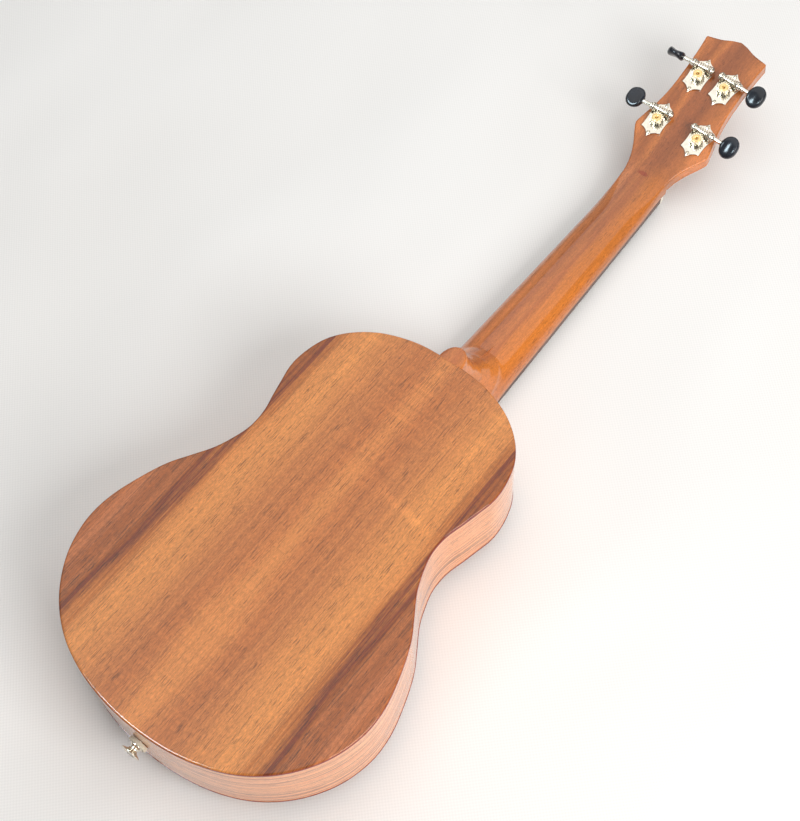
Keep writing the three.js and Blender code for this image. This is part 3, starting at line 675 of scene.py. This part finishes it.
def board_half(y):
    """Half width of the fingerboard, and of the neck under it."""
    return NUT_HALF + (JOINT_HALF - NUT_HALF) * (NUT_Y - y) / (NUT_Y - BODY_END)


head_line = smooth_curve(HEAD_HALF, 12)
tip_line = smooth_curve(TIP, 8)
spine_line = smooth_curve(SPINE, 16)


def head_half(v):
    return np.interp(v, head_line[:, 0], head_line[:, 1])


def shaft_section(y, back_z, power):
    """Half of the neck's section, from its front corner to the middle of its back: x and height
    under the back. The heel joins it in a fillet."""
    z_heel, half_heel, end_heel = np.array(HEEL).T
    top_heel = np.interp(-y, -end_heel, z_heel) if y < end_heel[0] else FRONT
    top = 0.0 if y < end_heel[-1] else max(back_z, min(top_heel, 0.0))
    fillet = 3.0
    blend_top = back_z + fillet * np.log1p(np.exp(np.clip((top_heel - back_z) / fillet, -30, 30)))
    top = min(max(top, blend_top if y < HEEL_CLEAR else back_z), 0.0)
    t = np.linspace(0, 1, 400)
    z = FRONT + (top - FRONT) * (1 - (1 - t) ** 2.2)
    rise = np.clip((z - FRONT) / (back_z - FRONT), 0, 1)
    shaft = board_half(min(y, NUT_Y)) * (1 - rise**power) ** (1 / power)
    half = np.interp(z, z_heel, half_heel)
    end = np.interp(z, z_heel, end_heel)
    reach = np.clip((y - BODY_END + 4) / (end - BODY_END + 4), 0, 1)
    cap = np.clip((z + 1.4) / 1.4, 0, 1)
    heel = half * (1 - reach**2.4) ** (1 / 2.4) * (1 - cap**3) ** (1 / 3)
    soft = 1.6
    swell = soft * np.log1p(np.exp(-np.abs(shaft - heel) / soft))
    width = np.maximum(shaft, heel) + swell * np.minimum(1, np.minimum(shaft, heel) / 3)
    width[-1] = 0
    return np.stack([width, z - top], 1), top


def head_section(half, thick, radius, inset=0.0):
    """Half of the head's section: a plate with rounded edges."""
    half = half - inset
    low, high = -thick + inset, -inset
    corner = max(radius - inset, 0.15)
    bend = np.linspace(0, np.pi / 2, 12)
    foot = [(half - corner * 0.5 * (1 - np.sin(a)), low + corner * 0.5 * (1 - np.cos(a))) for a in bend]
    roll = [(half - corner * (1 - np.cos(a)), high - corner * (1 - np.sin(a))) for a in bend]
    return np.array([*foot, *roll, (0, high)])


def neck_ring(station):
    """One ring round the neck at y = station, which turns into the head's plate towards HEAD_FROM."""
    tilt = HEAD_TILT * ease((station - 530) / 24)
    power = 2.3 + 2.2 * ease((station - 500) / 44)
    head_v = (station - NUT_Y) / np.cos(HEAD_TILT)
    if station < HEAD_FROM:
        back_z = np.interp(station, spine_line[:, 0], spine_line[:, 1])
    else:
        back_z = HEAD_Z + (station - NUT_Y) * np.tan(HEAD_TILT)
    section_z = back_z if station < HEAD_FROM else -43
    section, top = shaft_section(min(station, HEAD_FROM - 1), section_z, power)
    if station > HEEL_CLEAR:
        top = back_z
    front = (back_z - FRONT) / np.cos(tilt)
    step = ease((station - THIN_AT) / 0.8)
    thick = front + (HEAD_THICK - front) * step
    neck = spaced(section, RING_POINTS)
    neck[:, 1] *= thick / (back_z - FRONT) if station > HEEL_CLEAR else 1
    if station > BLEND_FROM:
        plate = spaced(head_section(max(head_half(head_v), 17), thick, HEAD_ROUND), RING_POINTS)
        wide = np.interp(station, [BLEND_FROM, NUT_Y, 547, HEAD_FROM],
                         [board_half(BLEND_FROM), NUT_HALF, 17.9, 19.75])
        plate[:, 0] *= wide / plate[:, 0].max()
        neck[:, 0] *= wide / neck[:, 0].max()
        neck = neck + (plate - neck) * ease((station - BLEND_FROM) / (HEAD_FROM - BLEND_FROM))
    points = both_sides(neck)
    off = np.array([0, -np.sin(tilt), np.cos(tilt)])
    ring = np.array([np.array([x, station, top]) + h * off for x, h in points])
    if station < BODY_END + 17:
        drop = BODY_END - np.interp(np.abs(ring[:, 0]), *neck_joint_line().T)
        ring[:, 1] -= drop * (1 - ease((station - BODY_END) / 12))
    return ring


def both_sides(half):
    """A half section, from its front corner to its middle, and its mirror image."""
    return [tuple(p) for p in half] + [(-x, h) for x, h in half[-2::-1]]


def neck_joint_line():
    """|x| and y of the body's outline beside the neck."""
    near = OUTLINE[(OUTLINE[:, 1] > BODY_END - 12) & (OUTLINE[:, 0] >= 0)]
    return near[np.argsort(near[:, 0])]


def neck():
    stations = np.concatenate([
        np.linspace(BODY_END - 0.9, 356, 64), np.linspace(358, HEEL_CLEAR, 8), np.linspace(375, 526, 40),
        np.linspace(528, THIN_AT, 26), np.linspace(543.8, 544.6, 5), np.linspace(545.2, HEAD_FROM, 12)])
    rings = [neck_ring(s) for s in stations]
    for v in np.linspace(13.8, TIP_FROM, 84):
        rings.append(head_ring(head_half(v), lambda x: v, 0))
    for share in np.linspace(0.12, 1, 10)[:-1]:
        half = head_half(TIP_FROM + (TIP_V - TIP_FROM) * share)
        rings.append(head_ring(half, lambda x: tip_end(x, share), 0))
    for angle in np.linspace(0, np.pi / 2, 6):
        inset = TIP_ROUND * (1 - np.cos(angle))
        back_off = TIP_ROUND - TIP_ROUND * np.sin(angle)
        rings.append(head_ring(TIP_HALF, lambda x: tip_end(x, 1) - back_off, inset))
    verts, faces = loft(rings)
    piece("neck_and_head", "instrument", NECK_WOOD, "neck_wood", verts, faces, ["neck"], sharp=50)


def tip_end(x, share):
    """v at x, for a ring that is bent by this share of the tip's own curve."""
    return TIP_FROM + (np.interp(abs(x), *tip_line.T) - TIP_FROM) * share


def head_ring(half, v_of, inset):
    """One ring round the head's plate. v_of gives each point's v from its x."""
    section = spaced(head_section(half, HEAD_THICK, HEAD_ROUND, inset), RING_POINTS)
    return np.array([on_head(x, v_of(x), h) for x, h in both_sides(section)])


def head_outline(start):
    """The head's outline in x and v, anticlockwise, from v = start to the tip."""
    cut = 1.3
    rise = np.linspace(start, TIP_V, 90)
    right = np.stack([head_half(rise), rise], 1)
    end = tip_line[::-1]
    corner = end[0]
    before = right[np.abs(right[:, 1] - corner[1]) > cut]
    after = end[np.abs(end[:, 0] - corner[0]) > cut]
    t = np.linspace(0, 1, 8)[1:-1, None]
    bend = (1 - t) ** 2 * before[-1] + 2 * t * (1 - t) * corner + t**2 * after[0]
    side = np.vstack([before, bend, after])
    left = side[-2::-1] * (-1, 1)
    return np.vstack([side, left])


def head_front():
    outline = head_outline(5)
    verts, faces = slab(outline, -HEAD_THICK - VENEER, -HEAD_THICK + 0.02, 0.4, 0.1)
    verts = [on_head(*p) for p in verts]
    piece("head_face", "instrument", NECK_WOOD, "back_wood", verts, faces, ["head_veneer"])


def fingerboard():
    low, high = FRONT - 5.3, FRONT + 0.05
    start = span("fretboard", 1)[0]
    right = np.array([(board_half(start), start), (board_half(NUT_Y), NUT_Y - 0.05)])
    outline = np.vstack([right, right[::-1] * (-1, 1)])
    edges = zip(outline, np.roll(outline, -1, 0))
    dense = np.vstack([np.linspace(a, b, 24, endpoint=False) for a, b in edges])
    board = slab(dense, low, high, 0.5, 0.1)
    piece("fingerboard", "instrument", DARK_WOOD, "dark_wood", *board, ["fretboard"])
    wires = []
    for fret in range(1, 19):
        y = NUT_Y - SCALE * (1 - 2 ** (-fret / 12))
        half = board_half(y) - 0.3
        bend = np.linspace(0, np.pi, 9)
        section = [(y + 1.1 * np.cos(a), low - 0.95 * np.sin(a)) for a in bend]
        section += [(y - 1.1, low + 0.3), (y + 1.1, low + 0.3)]
        ends = [(-half, 0.75), (-half + 0.5, 1), (half - 0.5, 1), (half, 0.75)]
        rings = [[(x, y + (sy - y) * k, low + (sz - low) * k) for sy, sz in section] for x, k in ends]
        wires.append(loft(rings))
    steel("frets", joined(*wires))
    dots = []
    dot = [(0, low - 0.04), (2.9, low - 0.04), (3, low + 0.1), (3, low + 0.5), (0, low + 0.5)]
    for fret, places in ((5, (0,)), (7, (0,)), (10, (0,)), (12, (-7, 7)), (15, (0,))):
        y = NUT_Y - SCALE * (1 - (2 ** (-fret / 12) + 2 ** (-(fret - 1) / 12)) / 2)
        for x in places:
            verts, faces = turned(dot, 32)
            dots.append((np.array(verts) + (x, y, 0), faces))
    piece("fret_dots", "instrument", BONE, "bone", *joined(*dots))


# ---- strings ----
STRING_R = 0.4
WINDING_R = 2.85            # radius of the winding's middle line round the post
WINDING_W = -15.7           # height of its first turn, in the tuner's own frame
WINDING_STEP = 0.09         # mm per radian
WINDING_TURNS = 3.2


def strings():
    tie = FRONT - 4.9
    saddle_z = FRONT - 10.5
    for name, (at_nut, at_saddle) in STRINGS.items():
        place = tuner_place(name)
        post = local(place.translation)
        side = -np.sign(post[0])
        v = np.dot(post - (0, NUT_Y, HEAD_Z), UP_HEAD)
        finish = on_head(post[0] + side * WINDING_R, v, WINDING_W)
        loop = [(at_saddle + 1.0, 103.2, FRONT - 8.05), (at_saddle + 0.9, 97, FRONT - 8.1),
                (at_saddle + 0.6, 93.6, FRONT - 7.4), (at_saddle, 92.6, FRONT - 5.4), (at_saddle, 94.2, tie)]
        bend = smooth_curve(loop, 8)
        run = [(at_saddle, 99, tie), (at_saddle, 103.6, tie), (at_saddle, SADDLE_Y - 0.6, saddle_z + 0.2),
               (at_saddle, SADDLE_Y, saddle_z), (at_nut, NUT_Y + 0.4, FRONT - 6.8),
               (at_nut, NUT_Y + 2.2, FRONT - 6.7), finish]
        path = np.vstack([bend, run])
        piece(f"string_line_{name}", "instrument", NYLON, "string", *tube(path, STRING_R, 10),
              [f"string_{name}"])
        turns = np.linspace(0, WINDING_TURNS * 2 * np.pi, 120)
        angle = (0 if side > 0 else np.pi) + turns
        coil = np.stack([WINDING_R * np.cos(angle), WINDING_R * np.sin(angle),
                         WINDING_W - turns * WINDING_STEP], 1)
        piece(f"winding_{name}", f"post_{name}", NYLON, "string", *tube(coil, STRING_R, 8), place=place)


# ---- tuners ----
# Radii, and heights over the head's back. hub is the radius of the brass face.
GEAR = {"teeth": 16, "tip": 5.1, "root": 4.0, "low": 2.0, "high": 6.4, "hub": 3.3}
LEAD = np.pi * 0.6          # how far one turn of the worm moves the wheel's teeth
WORM = {"tip": 3.0, "root": 1.95, "end": 4.1, "height": 4.6}
AXLE = 7.35                 # from the post's axis to the shaft's
SHAFT_R = 1.6
EAR = {"inner": 6.9, "thick": 1.2, "half": 3.6}
KNOB = {"from": 16.7, "length": 13.7, "half": 8.5, "thick": 3.4}


def tuner_place(name):
    """The tuner's own frame: the post at the origin, x along the shaft, z out of the head's back."""
    along = Vector(joints[f"knob_turn_{name}"]["axis"])
    out = Vector(joints[f"post_turn_{name}"]["axis"])
    turn = Matrix((along, out.cross(along), out)).transposed().to_4x4()
    return Matrix.Translation(Vector(joints[f"post_turn_{name}"]["pos_m"])) @ turn


def star_outline():
    """The base plate: cusps joined by hollow arcs."""
    length, centre = 16.7, 1.8
    cusps = [(0, -length), (8.2, -10.4), (8.8, 4.6), (5.6, 11.2), (0, length - 1)]
    hollows = [1.5, 0.6, -0.4, 0.7]
    right = []
    for a, b, hollow in zip(cusps, cusps[1:], hollows):
        a, b = np.array(a, float), np.array(b, float)
        inwards_way = np.array([a[1] - b[1], b[0] - a[0]])
        inwards_way /= np.linalg.norm(inwards_way)
        t = np.linspace(0, 1, 11)[:-1, None]
        right.append(a + (b - a) * t + inwards_way * hollow * 4 * t * (1 - t))
    right = np.vstack(right)
    left = right[1:][::-1] * (-1, 1)
    return np.vstack([right, [cusps[-1]], left]) + (0, centre)


def ear(side):
    """A cheek that holds the shaft, standing on the plate."""
    half = EAR["half"]
    round_r = half - 0.2
    arc = np.linspace(0, np.pi, 25)
    outline = [(AXLE + round_r * np.cos(a), WORM["height"] + round_r * np.sin(a)) for a in arc]
    outline += [(AXLE - half - 0.5, 1.0), (AXLE + half + 0.5, 1.0)]
    hole = ring_line(AXLE, WORM["height"], SHAFT_R + 0.25, 32, clockwise=True)
    x0 = EAR["inner"] if side > 0 else -EAR["inner"] - EAR["thick"]
    verts, faces = slab(outline, x0, x0 + EAR["thick"], 0.25, 0.25, [hole])
    return [(p[2], p[0], p[1]) for p in verts], faces


def screw_head(x, y, z, radius, slot_turn):
    """A domed screw head with a cross-shaped recess."""
    rings = []
    angles = np.arange(40) / 40 * 2 * np.pi
    for share in (1.0, 1.0, 0.97, 0.85, 0.65, 0.5, 0.4, 0.3, 0.2, 0.08):
        r = radius * share
        px, py = r * np.cos(angles - slot_turn), r * np.sin(angles - slot_turn)
        dome = 0.4 * (1 - share**2) + 0.3
        arm = (np.minimum(np.abs(px), np.abs(py)) < radius * 0.17) & (share < 0.72)
        height = np.where(arm, dome - 0.6, dome)
        rings.append(np.stack([x + r * np.cos(angles), y + r * np.sin(angles), z + height], 1))
    rings[0][:, 2] = z - 0.2
    return loft(rings)


def tuner_plate(name, place):
    hole = ring_line(0, 0, 3.3, 40, clockwise=True)
    plate = slab(star_outline(), 0.02, 1.2, 0.1, 0.35, [hole])
    steel(f"tuner_base_{name}", joined(plate, ear(1), ear(-1)), [f"tuner_plate_{name}"],
          place=place, sharp=40)
    screws = joined(screw_head(0, -11.3, 1.2, 1.5, 0.4), screw_head(0, 14.3, 1.2, 1.5, 1.1))
    steel(f"plate_screws_{name}", screws, place=place)


def worm_shaft(name, place, outwards):
    """The shaft with its worm, collars and the nub at its far end, along x."""
    far = EAR["inner"] + EAR["thick"]
    collar = [(4.3, WORM["root"]), (4.4, 2.8), (4.7, 3.0), (5.1, 2.9), (5.3, 2.5), (5.5, 2.9), (6.0, 3.15),
              (6.55, 3.0), (6.6, SHAFT_R)]
    nub = [(-far - 1.7, 0.0), (-far - 1.65, 1.1), (-far - 1.4, 1.6), (-far - 1.0, 1.65), (-far - 0.95, 2.7),
           (-far - 0.55, 3.0), (-far - 0.15, 2.7), (-far - 0.1, SHAFT_R)]
    stem = [(far + 0.1, SHAFT_R), (far + 0.15, 2.8), (far + 0.5, 3.05), (far + 0.9, 2.8), (far + 1.1, 2.2),
            (far + 1.3, 2.5), (far + 1.7, 2.5), (far + 2.1, 1.9), (far + 4.5, SHAFT_R),
            (KNOB["from"] + 3, SHAFT_R), (KNOB["from"] + 3.4, 0)]
    thread = [(x, None) for x in np.linspace(-WORM["end"], WORM["end"], 110)]
    sides = 48
    angles = np.arange(sides) / sides * 2 * np.pi
    rings = []
    for x, radius in nub + [(-x, radius) for x, radius in collar[::-1]] + thread + collar + stem:
        if radius is None:
            phase = (outwards * x / LEAD - (angles - np.pi) / (2 * np.pi) + 0.5) % 1 - 0.5
            crest = np.clip((0.25 - np.abs(phase)) / 0.14, 0, 1)
            fade = np.clip((WORM["end"] - abs(x)) / 0.7, 0, 1)
            r = WORM["root"] + (WORM["tip"] - WORM["root"]) * ease(crest) * fade
        else:
            r = np.full(sides, max(radius, AXIS_R))
        rings.append(np.stack([np.full(sides, outwards * x), AXLE + r * np.cos(angles),
                               WORM["height"] + r * np.sin(angles)], 1))
    steel(f"worm_and_shaft_{name}", loft(rings), [f"worm_shaft_{name}"], f"knob_{name}", place=place)


def button(name, place, outwards):
    """An oval button whose faces are hollowed across the shaft. It is turned as its CAD node is."""
    length, half, thick = KNOB["length"], KNOB["half"], KNOB["thick"]
    t = (1 - np.cos(np.linspace(0, np.pi, 44))) / 2
    width = half * np.sqrt(np.clip(1 - ((t - 0.5) / 0.5) ** 2, 0, 1)) ** 0.86
    width = np.maximum(width, 2.6 * (1 - ease((t - 0.02) / 0.14)))
    waist = thick - 0.9 * np.sin(np.pi * np.clip(t / 0.96, 0, 1)) ** 2
    roll = np.sqrt(np.clip(1 - (np.clip(np.abs(t - 0.5) - 0.34, 0, 1) / 0.16) ** 2, 0, 1))
    deep = np.maximum(waist * roll, 2.0 * (t < 0.1))
    sides, squareness = 56, 0.82
    angles = np.arange(sides) / sides * 2 * np.pi
    c, s = np.cos(angles), np.sin(angles)
    rings = []
    for share, w, h in zip(t, width, deep):
        y = max(w, 0.01) * np.sign(c) * np.abs(c) ** squareness
        z = max(h, 0.01) * np.sign(s) * np.abs(s) ** squareness
        rings.append(np.stack([np.full(sides, outwards * (KNOB["from"] + length * share)), y, z], 1))
    verts, faces = loft(rings)
    spin = np.array(Matrix.Rotation(button_turn(name, place), 3, "X"))
    verts = np.array(verts) @ spin.T + (0, AXLE, WORM["height"])
    piece(f"button_{name}", f"knob_{name}", PLASTIC, "button_plastic", verts, faces,
          [f"tuner_button_{name}"], place=place)


def button_turn(name, place):
    """How far the CAD button is turned about its shaft, from the wide direction of its points."""
    points = np.array([place.inverted() @ v.co for v in nodes[f"tuner_button_{name}"].data.vertices])
    flat = points[:, 1:] - points[:, 1:].mean(0)
    return np.arctan2(*np.linalg.eigh(flat.T @ flat)[1][:, 1][::-1])


def gear(name, place):
    """The worm wheel, its teeth leaning along the thread: a brass face over plated sides."""
    pitch = 2 * np.pi / GEAR["teeth"]
    root, tip, hub, high = (GEAR[key] for key in ("root", "tip", "hub", "high"))
    tooth = [(root, -0.38), (root + 0.35, -0.29), (tip - 0.25, -0.16), (tip, -0.09)]
    tooth += [(r, -share) for r, share in tooth[::-1]]
    outline = []
    for i in range(GEAR["teeth"]):
        middle = np.pi / 2 + (i + 0.5) * pitch
        for r, share in tooth:
            angle = middle + share * pitch
            outline.append((r * np.cos(angle), r * np.sin(angle)))
    hole = ring_line(0, 0, hub - 0.02, 40, clockwise=True)
    lean = LEAD / (2 * np.pi * 2.55) / 4.8
    split = high - 0.4
    for part, look, bottom, top in (("gear", STEEL, GEAR["low"], split), ("gear_rim", TEETH, split, high)):
        verts, faces = slab(outline, bottom, top, 0.0, 0.15, [hole])
        verts = np.array(verts)
        angle = lean * (verts[:, 2] - WORM["height"])
        x, y = verts[:, 0].copy(), verts[:, 1].copy()
        verts[:, 0] = x * np.cos(angle) - y * np.sin(angle)
        verts[:, 1] = x * np.sin(angle) + y * np.cos(angle)
        piece(f"{part}_{name}", f"post_{name}", look, "brass", verts, faces,
              [f"tuner_gear_{name}"] if part == "gear" else (), place=place)
    bore, deep = 1.05, high - 3.2
    face = [(bore, deep), (hub, deep), (hub, high + 0.05), (hub - 0.2, high + 0.2), (hub - 0.6, high + 0.25),
            (1.5, high + 0.2), (1.2, high + 0.1), (bore, high - 0.1), (bore, deep)]
    piece(f"gear_face_{name}", f"post_{name}", BRASS, "brass", *turned(face), place=place)


def post(name, place):
    front = -HEAD_THICK - VENEER
    end = front - 11
    profile = [(0, end), (2.2, end), (2.8, end + 0.2), (3, end + 0.7), (3, end + 3), (2.75, end + 3.8),
               (2.45, end + 4.4), (2.4, end + 5.4), (2.45, end + 6.4), (2.75, end + 7), (3, end + 7.7),
               (3, 1.6), (2.6, 1.7), (1.0, 1.75), (1.0, 3.4), (0.8, 3.6), (0, 3.6)]
    steel(f"post_{name}_turned", turned(profile), [f"string_post_{name}"], f"post_{name}", place=place)
    ring = [(3.3, front + 6), (3.3, front - 1.3), (3.6, front - 1.5), (5.2, front - 1.5), (5.8, front - 0.9),
            (5.9, front - 0.1), (4.3, front - 0.1), (4.3, front + 6), (3.3, front + 6)]
    steel(f"bushing_{name}", turned(ring), [f"post_bushing_{name}"], place=place)


def tuners():
    for name in STRINGS:
        place = tuner_place(name)
        outwards = 1 if place.translation.x > 0 else -1
        tuner_plate(name, place)
        worm_shaft(name, place, outwards)
        button(name, place, outwards)
        gear(name, place)
        post(name, place)


# ---- strap button ----
def aimed(mesh):
    """A mesh turned about z, moved to the strap button's axis, its top towards the tail."""
    verts, faces = mesh
    return [(p[0], -p[2], STRAP_Z + p[1]) for p in verts], faces


def strap():
    washer = [(2.4, 0.05), (6.1, 0.05), (6.35, 0.5), (6.35, 2.3), (6.1, 2.8), (2.4, 2.8), (2.4, 0.05)]
    piece("strap_washer", "instrument", FELT, "felt", *aimed(turned(washer, 64)), ["felt_washer"])
    shape = smooth_curve([(4.5, 2.9), (4.4, 3.3), (3.5, 4.1), (3, 5.2), (3.3, 6.4), (5.2, 7.3), (6.5, 7.9),
                          (6.65, 8.25), (6.4, 8.6), (5.6, 8.85), (3.95, 8.9)], 4)
    rim = [(2.4, 2.9), *map(tuple, shape), (3.75, 8.6), (3.7, 7.8), (2.4, 7.7), (2.4, 2.9)]
    steel("strap_knob", aimed(turned(rim, 64)), ["strap_button"])
    shank = turned([(0, -22), (1.2, -20), (1.8, -17), (1.8, 8.1), (0, 8.1)], 24)
    screw = joined(screw_head(0, 0, 8.2, 3.3, 0.3), shank)
    steel("strap_screw_cross", aimed(screw), ["strap_screw"])


# ---- pieces kept from the CAD ----
def kept_pieces():
    """The CAD nodes that no piece replaces: the parts inside, the bridge, the saddle and the nut."""
    for name, obj in nodes.items():
        if obj.hide_render:
            continue
        look = INNER_WOOD
        if name == "bridge":
            look = DARK_WOOD
        elif name in ("nut", "saddle"):
            look = BONE
        obj.data.materials.clear()
        obj.data.materials.append(look)
        bevel = obj.modifiers.new("soft_edges", "BEVEL")
        bevel.width = 0.0004
        bevel.segments = 3
        bevel.limit_method = "ANGLE"


# ---- stage ----
def stage():
    """The floor: a pale cloth with a fine weave and soft folds, painted darker in the folds' hollows."""
    look = Look("floor_cloth", Roughness=0.9)
    place = look.place()
    x, y, _ = look.split(place)
    threads = [look.math("SINE", look.math("MULTIPLY", along, 2 * np.pi / 0.0026)) for along in (x, y)]
    weave = look.math("MULTIPLY", *threads)
    fold_height_and_shade = look.noise(place, (5, 3, 4), 1.5, 0.5, 0.2)
    # Painted shade: the cloth's tone follows the folds' height, darker in their hollows.
    colour = look.mix(look.between(fold_height_and_shade, 0.3, 0.7), (0.88, 0.87, 0.855, 1), (0.91, 0.905, 0.895, 1))
    colour = look.scale(colour, look.between(weave, -1.0, 1.0, 0.97, 1.03))
    height = look.math("ADD", look.math("MULTIPLY", weave, 0.00002), look.math("MULTIPLY", fold_height_and_shade, 0.014))
    look.finish(colour, normal=look.bump(height, 1.0))
    half = 4.0
    mesh = bpy.data.meshes.new("floor")
    corners = [(-half, -half, 0), (half, -half, 0), (half, half, 0), (-half, half, 0)]
    mesh.from_pydata(corners, [], [(0, 1, 2, 3)])
    mesh.materials.append(look.material)
    floor = bpy.data.objects.new("floor", mesh)
    bpy.context.scene.collection.objects.link(floor)


def light(name, place, aim, size, power, colour=(1, 1, 1), glints_only=False):
    data = bpy.data.lights.new(name, "AREA")
    data.shape = "RECTANGLE"
    data.size, data.size_y = size
    data.energy = power
    data.color = colour
    lamp = bpy.data.objects.new(name, data)
    lamp.location = place
    lamp.rotation_euler = (Vector(aim) - Vector(place)).to_track_quat("-Z", "Y").to_euler()
    lamp.visible_camera = False
    lamp.visible_diffuse = not glints_only
    bpy.context.scene.collection.objects.link(lamp)


def lights():
    """A pale room, a broad ceiling light that the lacquer mirrors, a window on the right, and a lamp
    that shows in glossy surfaces only."""
    world = bpy.data.worlds.new("studio")
    world.use_nodes = True
    background = world.node_tree.nodes["Background"].inputs
    background["Color"].default_value = (1.0, 0.99, 0.97, 1)
    background["Strength"].default_value = 0.34
    bpy.context.scene.world = world
    light("ceiling", (-0.3, 1.1, 1.8), (-0.3, 1.1, 0), (2.8, 2.8), 25.5, (1.0, 1.0, 0.99))
    light("window", (1.25, -0.27, 0.95), (0, 0.05, 0), (0.9, 0.9), 17, (1.0, 0.99, 0.98))
    light("lamp", (-0.36, -0.64, 1.1), (0.04, 0.28, 0.045), (0.45, 0.4), 16.0, (0.72, 0.9, 1.0), True)
    bpy.context.scene.view_settings.view_transform = "Standard"


back()
soundboard()
sides()
neck()
head_front()
fingerboard()
tuners()
strings()
strap()
kept_pieces()
stage()
lights()

bpy.context.view_layer.update()
